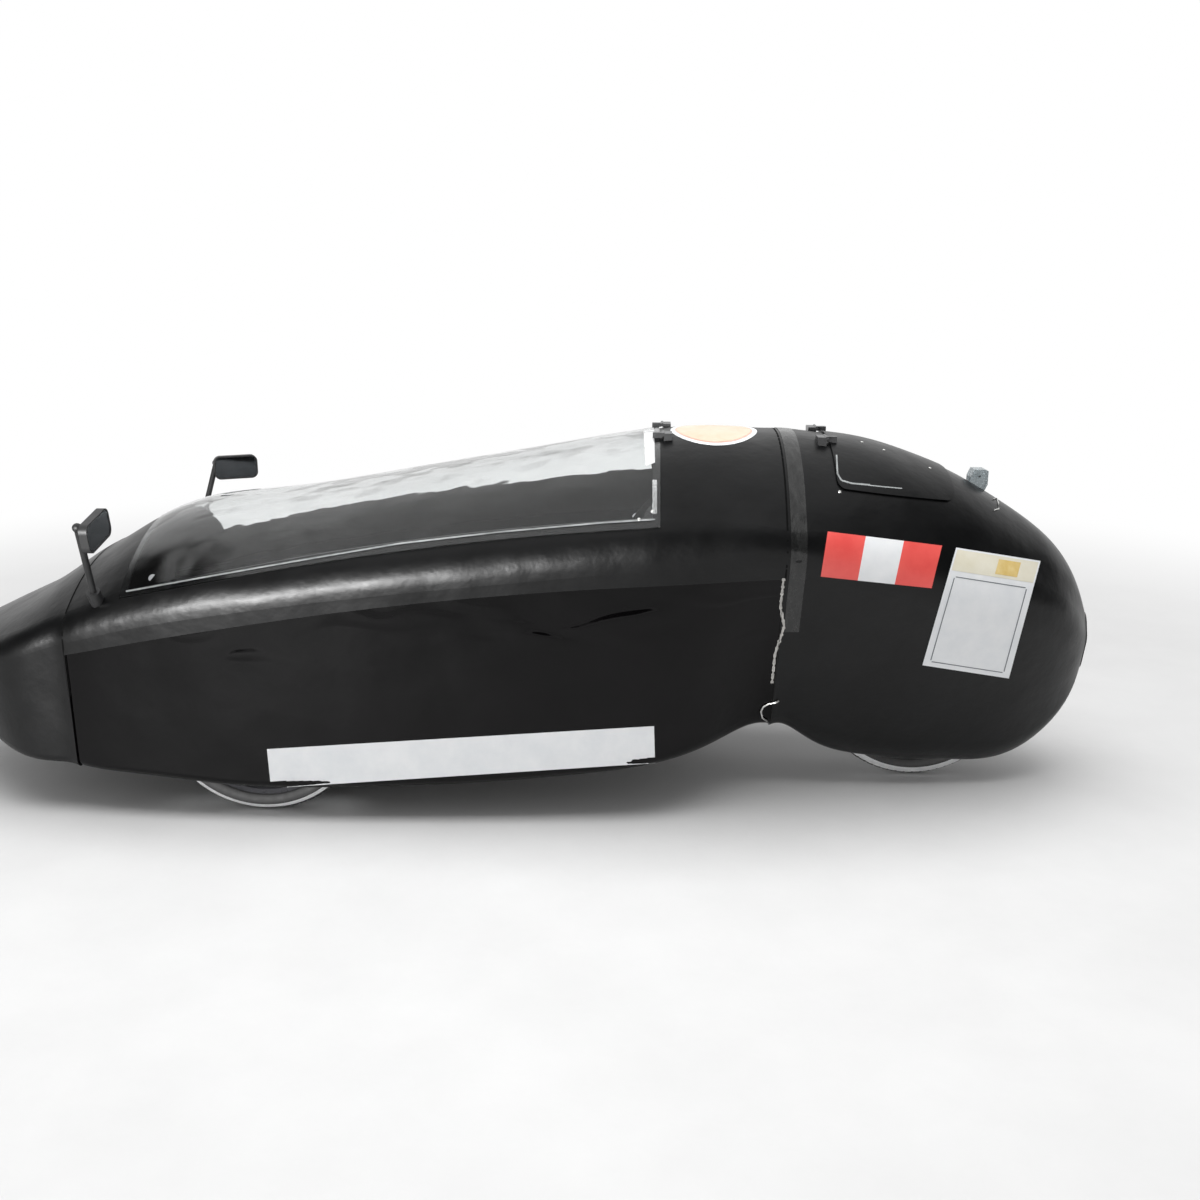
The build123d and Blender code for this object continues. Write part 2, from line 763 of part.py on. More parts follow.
def link(start, end, z):
    """Rod with an upright eye at each end."""
    body = rod((*start, z), (*end, z), link_diameter)
    for x, y in (start, end):
        body += post(x, y, z - eye_height / 2, z + eye_height / 2, eye_radius)
    for x, y in (start, end):
        body -= post(x, y, z - eye_height, z + eye_height, link_pin_radius + fit_gap)
    return body


def tie_rod():
    reach = half_track - kingpin_offset
    z = arm_z - arm_thickness / 2 - end_gap - eye_height / 2
    x = front_axle + arm_length
    return link((x, -reach), (x, reach), z)


def drag_link():
    z = arm_z + arm_thickness / 2 + end_gap + eye_height / 2
    reach = half_track - kingpin_offset
    return link((front_axle + arm_length, -reach), (bar_x + arm_length, 0), z)


def grip_line(side):
    """The handlebar's points on one side, from the grip's end to the middle."""
    return [(bar_x + back, side * (bar_half_width + out), bar_z + rise) for back, out, rise in bar_line]


def handlebar():
    """Bar that turns on the keel's pin, with the arm that moves the steering link."""
    boss_low = bar_z - eye_height - boss_drop + end_gap
    arm_low, arm_high = arm_z - arm_thickness / 2, arm_z + arm_thickness / 2
    arm_x = bar_x + arm_length
    bar = tube(grip_line(-1) + grip_line(1)[::-1], bar_diameter, bar_bends)
    bar += post(bar_x, 0, boss_low, bar_z + boss_rise, bar_pin_radius + boss_wall)
    bar += slab(bar_x, arm_x, -arm_width / 2, arm_width / 2, arm_low, arm_high)
    bar += post(arm_x, 0, arm_low, arm_high, arm_width / 2)
    bar += post(arm_x, 0, arm_high, arm_high + eye_height + 2 * end_gap + link_pin_end, link_pin_radius)
    return bar - post(bar_x, 0, boss_low - eye_height, bar_z + bar_pin_rise, bar_pin_radius + fit_gap)


def bar_grips():
    grips = []
    for side in (-1, 1):
        high, low = [Vector(*point) for point in grip_line(side)[:2]]
        along = (high - low).normalized()
        plane = Plane(origin=high - along * grip_length, z_dir=along)
        sleeve = Circle(grip_radius) - Circle(bar_diameter / 2 + seat_gap)
        grips.append(extrude(plane * sleeve, grip_length))
    return joined(grips)


# Drive


def crankset():
    """Spindle with the two cranks, level, and a pin for each pedal."""
    half = shell_width / 2 + spindle_end
    body = rod((crank_x, -half, crank_z), (crank_x, half, crank_z), 2 * spindle_radius)
    for side in (-1, 1):
        tip_x = crank_x + side * crank_length
        y = side * half
        y0, y1 = y - crank_half_width, y + crank_half_width
        body += disc(crank_x, y, crank_z, crank_boss / 2, 2 * crank_boss_half)
        z0, z1 = crank_z - crank_half_height, crank_z + crank_half_height
        body += slab(min(crank_x, tip_x), max(crank_x, tip_x), y0, y1, z0, z1)
        body += disc(tip_x, y, crank_z, crank_eye, 2 * crank_half_width)
        body += rod((tip_x, y, crank_z), (tip_x, y + side * pedal_pin_length, crank_z), pedal_pin)
    return body


def pedals():
    plates = []
    for side in (-1, 1):
        x, y = crank_x + side * crank_length, side * (shell_width / 2 + spindle_end + pedal_middle)
        x0, x1 = x - pedal_half_length, x + pedal_half_length
        y0, y1 = y - pedal_half_width, y + pedal_half_width
        plate = slab(x0, x1, y0, y1, crank_z - pedal_half_height, crank_z + pedal_half_height)
        plates.append(plate - disc(x, y, crank_z, pedal_pin / 2 + fit_gap, 3 * pedal_half_width))
    return joined(plates)


def chainring():
    radius = chainring_radius - chain_height / 2 - side_gap
    return disc(crank_x, chain_y, crank_z, radius, ring_thickness, spindle_radius)


def chain_face(swell):
    """Face inside the chain's loop. Columns: x, z, radius, less than nothing where the loop bends back."""
    circles = [
        (crank_x, crank_z, chainring_radius),
        (idler_x, lower_idler_z, idler_radius),
        (rear_axle, tyre_radius, sprocket_radius),
        (idler_x, upper_idler_z, -idler_radius),
    ]
    spots = [(Vector(x, z), radius + swell) for x, z, radius in circles]
    runs = []
    for (here, near), (there, far) in zip(spots, spots[1:] + spots[:1]):
        along = (there - here).normalized()
        share = (far - near) / (there - here).length
        normal = along * share + Vector(-along.Y, along.X) * math.sqrt(1 - share * share)
        runs.append((here - normal * near, there - normal * far))
    edges = []
    for index, (centre, radius) in enumerate(spots):
        arrive, leave = runs[index - 1][1], runs[index][0]
        first, last = [math.atan2(point.Y - centre.Y, point.X - centre.X) for point in (arrive, leave)]
        turn = (last - first) % (2 * math.pi) if radius > 0 else -((first - last) % (2 * math.pi))
        middle = centre + Vector(math.cos(first + turn / 2), math.sin(first + turn / 2)) * abs(radius)
        edges.append(ThreePointArc(arrive, middle, leave))
        edges.append(Line(*runs[index]))
    return Face(Wire(edges))


def chain():
    band = chain_face(chain_height / 2) - chain_face(-chain_height / 2)
    plane = Plane(origin=(0, chain_y + chain_width / 2, 0), x_dir=(1, 0, 0), z_dir=(0, -1, 0))
    return extrude(plane * band, chain_width)


def idlers():
    radius = idler_radius - chain_height / 2 - side_gap
    places = (lower_idler_z, upper_idler_z)
    return joined([disc(idler_x, chain_y, z, radius, chain_width, idler_pin_radius) for z in places])


def idler_bracket():
    """Upright plate on the keel with a pin for each roller."""
    x0, x1 = idler_x - bracket_half_length, idler_x + bracket_half_length
    middle_y = (bracket_near + bracket_far) / 2
    plate = slab(x0, x1, bracket_near, bracket_far, keel_z, upper_idler_z + bracket_half_length)
    plate += slab(x0, x1, 0, bracket_far, keel_z, keel_z + bracket_foot)
    for z in (lower_idler_z, upper_idler_z):
        plate += rod((idler_x, middle_y, z), (idler_x, chain_y + idler_pin_end, z), 2 * idler_pin_radius)
    return plate - main_tube_path(tube_diameter)


# Mirrors, latches and hinges

mirror_x = front_axle - 343
mirror_stalk = 15.0
mirror_bend = 50.0
mirror_collar = 31.0
mirror_ball = 10.5
mirror_neck = 12.0
mirror_width = 120.0
mirror_height = 66.0
mirror_round = 18.0
mirror_depth = 18.0
mirror_back = 6.0
glass_trim = 4.0
glass_recess = 8.0
glass_thickness = 2.5
# Stalk and collar: points as distance to the rear, outward and height
mirror_foot = [(0, 300, 470), (0, 350, 550)]
mirror_knee = (25, 448, 722)
collar_line = [(0, 318.75, 500), (0, 353, 554.8)]
# Columns: name, side, turn towards the body, tilt, and the housing's middle from the stalk's knee
# as distance to the rear, outward and up
mirror_heads = [
    ("left", -1, 0, -12, (26, -20.9, -10)),
    ("right", 1, 65, 0, (52, 10.5, -12)),
]


def mirror_parts(side, turn, tilt, offset):
    """Stalk with a collar on the shell, a ball at its knee and the housing, and the glass in it."""

    def sided(point):
        return mirror_x + point[0], side * point[1], point[2]

    knee = Vector(*sided(mirror_knee))
    centre = knee + Vector(offset[0], side * offset[1], offset[2])
    turn, tilt = math.radians(turn), math.radians(tilt)
    span = Vector(math.sin(turn) * math.cos(tilt), side * math.cos(turn) * math.cos(tilt), math.sin(tilt))
    facing = Vector(math.cos(turn), -side * math.sin(turn), 0)

    def layer(depth, trim, thickness):
        plane = Plane(centre + facing * depth, x_dir=span, z_dir=facing)
        outline = RectangleRounded(mirror_width - 2 * trim, mirror_height - 2 * trim, mirror_round - trim)
        return extrude(plane * outline, thickness)

    stalk = tube([sided(point) for point in mirror_foot] + [tuple(knee)], mirror_stalk, [mirror_bend])
    stalk += rod(*[sided(point) for point in collar_line], mirror_collar)
    stalk -= skin(body_rows, -seat_gap)
    stalk += Pos(*knee) * Sphere(mirror_ball) + rod(tuple(knee), tuple(centre), mirror_neck)
    housing = layer(-mirror_back, 0, mirror_depth) - layer(glass_recess, glass_trim, mirror_depth)
    return stalk + housing, layer(glass_recess, glass_trim + end_gap, glass_thickness)


# Hinge axes across the body: distance behind the front axle, height, and offset of each hinge from the middle
canopy_hinge = (wheelbase - 652, 888, 90)
hatch_hinge = (wheelbase - 270, 882, 92)
hinge_radius = 4.0
hinge_pin = 1.8
hinge_length = 48.0
# Blocks of a hinge: distance of the middle from the axis, drop of the middle, length and height
base_size = (11, 14, 20, 32)
leaf_size = (13, 11, 24, 26)


def barrel(centre, along, start, end, radius, bore=0.0):
    """Round sleeve on a hinge axis between two offsets from its centre."""
    face = Circle(radius) - Circle(bore) if bore else Circle(radius)
    return extrude(Plane(origin=centre + along * start, z_dir=along) * face, end - start)


def hinge(centre, along, base_block, leaf_block):
    """Fixed and moving halves of one hinge: two outer barrels with the pin, and one barrel between them."""
    third, half = hinge_length / 6, hinge_length / 2
    clear = barrel(centre, along, -third - end_gap, third + end_gap, hinge_radius + end_gap)
    base = base_block - clear
    for start, end in ((-half, -third - end_gap), (third + end_gap, half)):
        base += barrel(centre, along, start, end, hinge_radius)
        leaf_block -= barrel(centre, along, start - end_gap, end + end_gap, hinge_radius + end_gap)
    base += barrel(centre, along, -half, half, hinge_pin)
    leaf = leaf_block + barrel(centre, along, -third, third, hinge_radius)
    leaf -= barrel(centre, along, -half, half, hinge_pin + fit_gap)
    return base, leaf


def cross_hinges(axis, leaf_way, rows, cover_rise):
    """Two hinges on one axis, their leaves ahead of it or behind it, on blocks that follow the skin."""
    station, z, offset = axis
    under, cover = skin(rows, -seat_gap), skin(rows, -cover_rise - lap_gap - seat_gap)

    def block(centre, way, width, size):
        reach, drop, block_length, height = size
        return Pos(*centre) * Pos(way * reach, 0, -drop) * Box(block_length, width, height)

    bases, leaves = [], []
    for side in (-1, 1):
        centre = Vector(front_axle + station, side * offset, z)
        base_block = block(centre, -leaf_way, hinge_length, base_size) - under
        leaf_block = block(centre, leaf_way, hinge_length / 3, leaf_size) - cover
        base, leaf = hinge(centre, Vector(0, 1, 0), base_block, leaf_block)
        bases.append(base)
        leaves.append(leaf)
    return bases, leaves


def canopy_hinges():
    return cross_hinges(canopy_hinge, -1, body_rows, sheet)


def hatch_hinges():
    return cross_hinges(hatch_hinge, 1, tail_rows, lid)


knob_radius = 9.0
knob_depth = 20.0
knob_rise = 14.0
knob_way = (0, -0.74, 0.67)
# Middle of each knob: distance behind the front axle, from the middle and up
knob_places = [(-212, 322, 574), (wheelbase - 712, 330, 728)]


def canopy_latches():
    """Two turn knobs on the near edge of the sheet."""
    cover = skin(body_rows, -sheet - lap_gap - seat_gap)
    knobs = []
    for x, y, z in knob_places:
        centre = Vector(front_axle + x, -y, z)
        knobs.append(barrel(centre, Vector(*knob_way), -knob_depth, knob_rise, knob_radius) - cover)
    return joined(knobs)


bracket_x = rear_axle + 115.0
bracket_z = 780.0
bracket_bore = 3.0
bracket_half_width = 20.0
bracket_reach = 21.0
bracket_low = 710.0
bracket_high = 796.0
bracket_lean = 24.0
# The leaning block that trims the bracket: distance of its middle from the bore and height, length and height
bracket_trim = (-4, 760, 46, 80)


def tail_bracket():
    """Lamp bracket on the tail's crown, with a bore across it."""
    back, middle_z, trim_length, trim_height = bracket_trim
    half = bracket_half_width
    block = slab(bracket_x - bracket_reach, bracket_x + bracket_reach, -half, half, bracket_low, bracket_high)
    trim = Rot(0, bracket_lean, 0) * Box(trim_length, 2 * half, trim_height)
    block &= Pos(bracket_x + back, 0, middle_z) * trim
    return block - skin(tail_rows, -seat_gap) - disc(bracket_x, 0, bracket_z, bracket_bore, 4 * half)


def build():
    os.makedirs("parts", exist_ok=True)
    pieces = {
        "nose_shell": nose_shell(),
        "upper_shell": upper_shell(),
        "lower_shell": lower_shell(),
        "tail_shell": tail_shell(),
        "canopy_sheet": canopy_sheet(),
        "canopy_latches": canopy_latches(),
        "hatch_lid": hatch_lid(),
        "tail_bracket": tail_bracket(),
        "main_tube": main_tube(),
        "front_beam": front_beam(),
        "roll_hoop": roll_hoop(),
        "rear_stays": rear_stays(),
        "rear_axle": rear_axle_pin(),
        "shell_mounts": shell_mounts(),
        "seat_shell": seat_shell(),
        "seat_pad": seat_pad(),
        "seat_mounts": seat_mounts(),
        "front_hub_left": front_hub(-1),
        "front_hub_right": front_hub(1),
        "rear_hub": rear_hub(),
        "rear_sprocket": rear_sprocket(),
        "knuckle_left": knuckle(-1),
        "knuckle_right": knuckle(1),
        "tie_rod": tie_rod(),
        "drag_link": drag_link(),
        "handlebar": handlebar(),
        "bar_grips": bar_grips(),
        "crankset": crankset(),
        "pedals": pedals(),
        "chainring": chainring(),
        "chain": chain(),
        "idlers": idlers(),
        "idler_bracket": idler_bracket(),
    }
    # Columns: wheel, place along the vehicle and across it
    for wheel, x, y in (
        ("front_left", front_axle, -half_track),
        ("front_right", front_axle, half_track),
        ("rear", rear_axle, 0),
    ):
        pieces["tyre_" + wheel] = tyre(x, y)
        pieces["rim_" + wheel] = rim(x, y)
    for lid_name, (bases, leaves) in (("canopy", canopy_hinges()), ("hatch", hatch_hinges())):
        pieces[lid_name + "_hinge_base"] = joined(bases)
        pieces[lid_name + "_hinge_leaf"] = joined(leaves)
    for name, *placing in mirror_heads:
        pieces["mirror_" + name], pieces["mirror_glass_" + name] = mirror_parts(*placing)
    for name, shape in pieces.items():
        saved(name, shape)


build()
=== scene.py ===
import json
import math
import bpy
from mathutils import Matrix, Vector
from mathutils.bvhtree import BVHTree


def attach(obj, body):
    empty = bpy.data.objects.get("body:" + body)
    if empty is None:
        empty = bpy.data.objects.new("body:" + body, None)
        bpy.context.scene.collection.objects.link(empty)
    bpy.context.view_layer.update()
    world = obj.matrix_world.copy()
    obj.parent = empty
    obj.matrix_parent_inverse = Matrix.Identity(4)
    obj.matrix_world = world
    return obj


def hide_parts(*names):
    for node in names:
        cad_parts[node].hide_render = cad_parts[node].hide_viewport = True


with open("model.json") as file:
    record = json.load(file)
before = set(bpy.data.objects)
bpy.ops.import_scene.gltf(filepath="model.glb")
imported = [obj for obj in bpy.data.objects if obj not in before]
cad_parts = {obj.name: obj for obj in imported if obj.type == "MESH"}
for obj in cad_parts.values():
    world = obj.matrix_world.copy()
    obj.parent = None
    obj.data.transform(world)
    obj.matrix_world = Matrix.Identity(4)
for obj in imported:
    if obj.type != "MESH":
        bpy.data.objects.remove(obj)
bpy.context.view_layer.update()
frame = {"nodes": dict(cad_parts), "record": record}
nodes = frame["nodes"]

# Metres, in the model's own frame: +X runs rearward, the near side is -Y.
front_axle = -0.545
rear_axle = 1.051
tyre_radius = 0.250
tyre_half = 0.0235
half_track = 0.283


# Camera, where the photograph was taken from: lengths in its pixels, angles in radians

image_size = 1200.0
image_middle = image_size / 2
focal = 1236.0
sensor_width = 36.0
camera_place = Vector((0.893 + front_axle, -3.013, 1.2757))
yaw, pitch, roll = -0.0333, 0.2664, 0.0032
forward = Vector((math.sin(yaw) * math.cos(pitch), math.cos(yaw) * math.cos(pitch), -math.sin(pitch)))
level = Vector((math.cos(yaw), -math.sin(yaw), 0.0))
upright = level.cross(forward)
right = level * math.cos(roll) + upright * math.sin(roll)
up = upright * math.cos(roll) - level * math.sin(roll)
camera = bpy.data.objects.new("camera", bpy.data.cameras.new("camera"))
camera.data.sensor_width = sensor_width
camera.data.lens = sensor_width * focal / image_size
camera.matrix_world = Matrix.Translation(camera_place) @ Matrix((right, up, -forward)).transposed().to_4x4()
bpy.context.scene.collection.objects.link(camera)
bpy.context.scene.camera = camera


# Materials

tone_detail, tone_roughness = 5.0, 0.6
tone_ends = (0.32, 0.68)
wear_detail = 4.0
# How much finer the changes of roughness are than the changes of tone
wear_ratio = 3.1


def add(mat, kind, **inputs):
    node = mat.node_tree.nodes.new(kind)
    for name, value in inputs.items():
        node.inputs[name.replace("_", " ")].default_value = value
    return node


def combined(tree, operation, first, second):
    """Output of a calculation on two sockets, or on a socket and a number."""
    node = tree.nodes.new("ShaderNodeMath")
    node.operation = operation
    for slot, value in enumerate((first, second)):
        if isinstance(value, float):
            node.inputs[slot].default_value = value
        else:
            tree.links.new(value, node.inputs[slot])
    return node.outputs[0]


def eased(tree, value, start, end):
    """Output that rises smoothly from nothing to one while the value goes from start to end."""
    node = tree.nodes.new("ShaderNodeMapRange")
    node.interpolation_type = "SMOOTHSTEP"
    node.inputs["From Min"].default_value, node.inputs["From Max"].default_value = start, end
    tree.links.new(value, node.inputs["Value"])
    return node.outputs["Result"]


def surface(name, dark, light, rough, tone_scale, bumps, stretch=(1, 1, 1), **fixed):
    """Two tones and a range of roughness mixed by noise. Bumps are stacked: scale, detail and height."""
    mat = bpy.data.materials.new(name)
    mat.use_nodes = True
    links = mat.node_tree.links
    shader = mat.node_tree.nodes["Principled BSDF"]
    for key, value in fixed.items():
        shader.inputs[key.replace("_", " ")].default_value = value
    place = add(mat, "ShaderNodeTexCoord")
    mapping = add(mat, "ShaderNodeMapping")
    mapping.inputs["Scale"].default_value = stretch
    links.new(place.outputs["Object"], mapping.inputs["Vector"])
    tone = add(mat, "ShaderNodeTexNoise", Scale=tone_scale, Detail=tone_detail, Roughness=tone_roughness)
    links.new(mapping.outputs[0], tone.inputs["Vector"])
    ramp = add(mat, "ShaderNodeValToRGB")
    for element, position, colour in zip(ramp.color_ramp.elements, tone_ends, (dark, light)):
        element.position = position
        element.color = (*colour, 1)
    links.new(tone.outputs["Fac"], ramp.inputs["Fac"])
    links.new(ramp.outputs["Color"], shader.inputs["Base Color"])
    wear = add(mat, "ShaderNodeTexNoise", Scale=tone_scale * wear_ratio, Detail=wear_detail)
    links.new(mapping.outputs[0], wear.inputs["Vector"])
    spread = add(mat, "ShaderNodeMapRange", To_Min=rough[0], To_Max=rough[1])
    links.new(wear.outputs["Fac"], spread.inputs["Value"])
    links.new(spread.outputs["Result"], shader.inputs["Roughness"])
    normal = None
    for scale, detail, height in bumps:
        wave = add(mat, "ShaderNodeTexNoise", Scale=scale, Detail=detail)
        links.new(mapping.outputs[0], wave.inputs["Vector"])
        bump = add(mat, "ShaderNodeBump", Strength=1.0, Distance=height)
        links.new(wave.outputs["Fac"], bump.inputs["Height"])
        if normal:
            links.new(normal.outputs["Normal"], bump.inputs["Normal"])
        normal = bump
    links.new(normal.outputs["Normal"], shader.inputs["Normal"])
    return mat


def vinyl(name, dark, light, rough, tone_scale):
    """Printed film with faint ripples."""
    return surface(name, dark, light, rough, tone_scale, [(30.0, 2.0, 0.0003)])


satin = surface(
    "satin_laminate", (0.0016, 0.0017, 0.0019), (0.0044, 0.0046, 0.005), (0.28, 0.42), 6.0,
    [(6.0, 1.0, 0.008), (30.0, 2.0, 0.001), (420.0, 2.0, 0.00006)], Specular_IOR_Level=0.25,
)
gloss = surface(
    "gloss_film", (0.0010, 0.0008, 0.0010), (0.0026, 0.0021, 0.0025), (0.05, 0.12), 5.0,
    [(5.0, 1.0, 0.008), (22.0, 2.0, 0.0008)], Specular_IOR_Level=0.17,
)
clear = surface(
    "clear_plastic", (0.93, 0.95, 0.95), (0.975, 0.985, 0.985), (0.0, 0.04), 4.0,
    [(5.0, 1.5, 0.014), (14.0, 1.0, 0.0016)], Transmission_Weight=1.0, IOR=1.45,
)
frame_paint = surface(
    "frame_paint", (0.022, 0.022, 0.024), (0.04, 0.04, 0.042), (0.3, 0.5), 16.0,
    [(500.0, 2.0, 0.00005)], Coat_Weight=0.3, Coat_Roughness=0.2,
)
steel = surface(
    "turned_steel", (0.42, 0.43, 0.45), (0.6, 0.61, 0.62), (0.24, 0.42), 30.0,
    [(700.0, 3.0, 0.00004)], Metallic=1.0,
)
alloy = surface(
    "alloy", (0.5, 0.51, 0.53), (0.68, 0.69, 0.7), (0.26, 0.4), 24.0,
    [(900.0, 2.0, 0.00003)], Metallic=1.0,
)
chain_steel = surface(
    "oiled_steel", (0.13, 0.12, 0.11), (0.34, 0.33, 0.31), (0.28, 0.5), 90.0,
    [(260.0, 2.0, 0.0003)], Metallic=1.0,
)
black_plastic = surface(
    "black_plastic", (0.014, 0.014, 0.015), (0.026, 0.026, 0.027), (0.4, 0.58), 20.0,
    [(900.0, 2.0, 0.00006)],
)
mirror_glass = surface(
    "mirror_glass", (0.42, 0.45, 0.48), (0.5, 0.53, 0.56), (0.02, 0.07), 8.0,
    [(14.0, 0.0, 0.0003)], Metallic=1.0,
)
grip_foam = surface(
    "grip_foam", (0.012, 0.012, 0.012), (0.025, 0.025, 0.025), (0.8, 0.95), 60.0,
    [(700.0, 3.0, 0.0005)],
)
rubber = surface(
    "tyre_rubber", (0.010, 0.010, 0.011), (0.024, 0.023, 0.022), (0.6, 0.82), 26.0,
    [(420.0, 3.0, 0.0002)],
)
reflex = surface(
    "reflex_stripe", (0.80, 0.81, 0.82), (0.9, 0.9, 0.9), (0.25, 0.4), 60.0,
    [(1500.0, 1.0, 0.00004)],
)
rim_alloy = surface(
    "rim_alloy", (0.03, 0.03, 0.033), (0.05, 0.05, 0.055), (0.22, 0.36), 22.0,
    [(900.0, 2.0, 0.00003)], Metallic=0.8,
)
seat_shell_skin = surface(
    "seat_laminate", (0.010, 0.010, 0.011), (0.03, 0.03, 0.031), (0.22, 0.4), 120.0,
    [(260.0, 0.0, 0.0001)], Coat_Weight=0.5, Coat_Roughness=0.08,
)
seat_cloth = surface(
    "seat_cloth", (0.012, 0.012, 0.014), (0.03, 0.03, 0.033), (0.85, 0.97), 240.0,
    [(520.0, 3.0, 0.0006)], Sheen_Weight=0.25,
)
smoke_plastic = surface(
    "smoke_plastic", (0.30, 0.35, 0.37), (0.44, 0.49, 0.51), (0.18, 0.35), 40.0,
    [(90.0, 2.0, 0.0004)], Transmission_Weight=0.45, IOR=1.45,
)
white_vinyl = vinyl("white_vinyl", (0.72, 0.74, 0.76), (0.80, 0.81, 0.82), (0.26, 0.4), 14.0)
red_vinyl = vinyl("red_vinyl", (0.74, 0.075, 0.065), (0.82, 0.11, 0.095), (0.26, 0.4), 14.0)
ochre_vinyl = vinyl("ochre_vinyl", (0.66, 0.46, 0.14), (0.74, 0.58, 0.26), (0.28, 0.42), 40.0)
header_vinyl = vinyl("header_vinyl", (0.70, 0.66, 0.52), (0.76, 0.73, 0.62), (0.28, 0.42), 18.0)
cream_vinyl = vinyl("cream_vinyl", (0.60, 0.47, 0.34), (0.66, 0.55, 0.43), (0.28, 0.42), 22.0)
pink_vinyl = vinyl("pink_vinyl", (0.66, 0.36, 0.29), (0.74, 0.46, 0.38), (0.28, 0.42), 22.0)
ink = surface(
    "dark_ink", (0.14, 0.15, 0.17), (0.2, 0.21, 0.23), (0.35, 0.5), 30.0,
    [(60.0, 2.0, 0.0002)],
)
seam_tape = surface(
    "seam_tape", (0.006, 0.0063, 0.0063), (0.022, 0.0225, 0.022), (0.12, 0.3), 26.0,
    [(24.0, 3.0, 0.002), (160.0, 2.0, 0.0002)], stretch=(3, 1, 1), Specular_IOR_Level=0.5,
)
clear_tape = surface(
    "clear_tape", (0.86, 0.88, 0.88), (0.95, 0.96, 0.96), (0.08, 0.3), 20.0,
    [(46.0, 3.0, 0.002)], Transmission_Weight=0.75, IOR=1.35,
)
# Near-black sheet that paints the shade in the seams between the shells
painted_seam_shadow = surface(
    "seam_shadow", (0.0008, 0.0008, 0.0008), (0.002, 0.002, 0.002), (0.85, 0.95), 60.0,
    [(300.0, 2.0, 0.0002)], Specular_IOR_Level=0.1,
)
# Pale strip colour that paints the highlight along the edges of the canopy and the hatch lid
painted_edge_highlight = surface(
    "painted_edge_highlight", (0.16, 0.17, 0.17), (0.42, 0.44, 0.44), (0.2, 0.4), 20.0,
    [(80.0, 2.0, 0.0004)],
)
pale_edge = surface(
    "pale_edge", (0.36, 0.35, 0.33), (0.62, 0.61, 0.58), (0.4, 0.6), 90.0,
    [(240.0, 3.0, 0.0006)],
)
# White of the hook, the clip and the bolt, and of the dots that paint glints on the lid and at the canopy's
# latches
white_metal_and_glint = surface(
    "white_metal_and_glint", (0.62, 0.62, 0.6), (0.8, 0.8, 0.78), (0.25, 0.4), 60.0,
    [(300.0, 2.0, 0.0002)], Metallic=0.6,
)

wrinkle_stretch = (3.4, 1.0, 9.0)
wrinkle_scale, wrinkle_detail, wrinkle_distortion = 1.3, 0.3, 0.8
wrinkle_ends = (0.54, 0.80)


def wrinkled(mat, low, high, height):
    """Isolated wrinkles in a stretched film, fading in between two heights of the body."""
    tree = mat.node_tree
    shader = tree.nodes["Principled BSDF"]
    before = shader.inputs["Normal"].links[0].from_socket
    place = add(mat, "ShaderNodeTexCoord")
    mapping = add(mat, "ShaderNodeMapping")
    mapping.inputs["Scale"].default_value = wrinkle_stretch
    tree.links.new(place.outputs["Object"], mapping.inputs["Vector"])
    noise = add(
        mat, "ShaderNodeTexNoise", Scale=wrinkle_scale, Detail=wrinkle_detail, Distortion=wrinkle_distortion,
    )
    tree.links.new(mapping.outputs[0], noise.inputs["Vector"])
    parts = add(mat, "ShaderNodeSeparateXYZ")
    tree.links.new(place.outputs["Object"], parts.inputs[0])
    ridge = eased(tree, noise.outputs["Fac"], *wrinkle_ends)
    zone = eased(tree, parts.outputs["Z"], low, high)
    bump = add(mat, "ShaderNodeBump", Strength=1.0, Distance=height)
    tree.links.new(combined(tree, "MULTIPLY", ridge, zone), bump.inputs["Height"])
    tree.links.new(before, bump.inputs["Normal"])
    tree.links.new(bump.outputs["Normal"], shader.inputs["Normal"])


wrinkled(gloss, low=0.34, high=0.48, height=0.0035)

# Columns: the record's finish, and the material that shows it
finishes = {
    "satin_skin": satin,
    "gloss_skin": gloss,
    "clear_sheet": clear,
    "frame_paint": frame_paint,
    "steel": steel,
    "alloy": alloy,
    "chain_steel": chain_steel,
    "black_plastic": black_plastic,
    "mirror_glass": mirror_glass,
    "grip_rubber": grip_foam,
    "tyre_rubber": rubber,
    "rim_alloy": rim_alloy,
    "seat_plastic": seat_shell_skin,
    "seat_foam": seat_cloth,
    "grey_plastic": smoke_plastic,
}
for subpart in frame["record"]["subparts"]:
    mesh = nodes[subpart["node"]].data
    mesh.materials.clear()
    mesh.materials.append(finishes[subpart["material_slot"]])


# Meshes


def mesh_piece(name, points, faces, materials, body, indices=None, smooth=True):
    mesh = bpy.data.meshes.new(name)
    mesh.from_pydata([tuple(point) for point in points], [], faces)
    for mat in materials:
        mesh.materials.append(mat)
    if indices:
        mesh.polygons.foreach_set("material_index", indices)
    mesh.polygons.foreach_set("use_smooth", [smooth] * len(mesh.polygons))
    mesh.update()
    piece = bpy.data.objects.new(name, mesh)
    bpy.context.scene.collection.objects.link(piece)
    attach(piece, body)
    return piece


def disc_faces(rings, turns):
    """Faces between a middle point and the rings of points round it."""
    faces = [(0, 1 + step, 1 + (step + 1) % turns) for step in range(turns)]
    for ring in range(rings - 1):
        for step in range(turns):
            low, after = 1 + ring * turns, (step + 1) % turns
            faces.append((low + step, low + turns + step, low + turns + after, low + after))
    return faces


def tree_of(*names):
    """The named nodes as one shape that rays can meet."""
    points, faces = [], []
    for name in names:
        mesh = nodes[name].data
        start = len(points)
        points += [vertex.co.copy() for vertex in mesh.vertices]
        faces += [tuple(start + index for index in face.vertices) for face in mesh.polygons]
    return BVHTree.FromPolygons(points, faces)


# Tyres: grooved tread, plain sidewalls and a bright stripe on each side

# Angles from the middle of the tread, in degrees, on the tread and from below the stripe to the bead
tread_angles = [0, 5, 7, 16, 24, 26, 35, 43, 48]
sidewall_angles = [100, 116, 130, 137]
tread_steps = 432
groove_depth = 0.0012
# Columns: angle where a groove round the tyre starts, and where it ends
ring_grooves = ((5, 7), (24, 26))
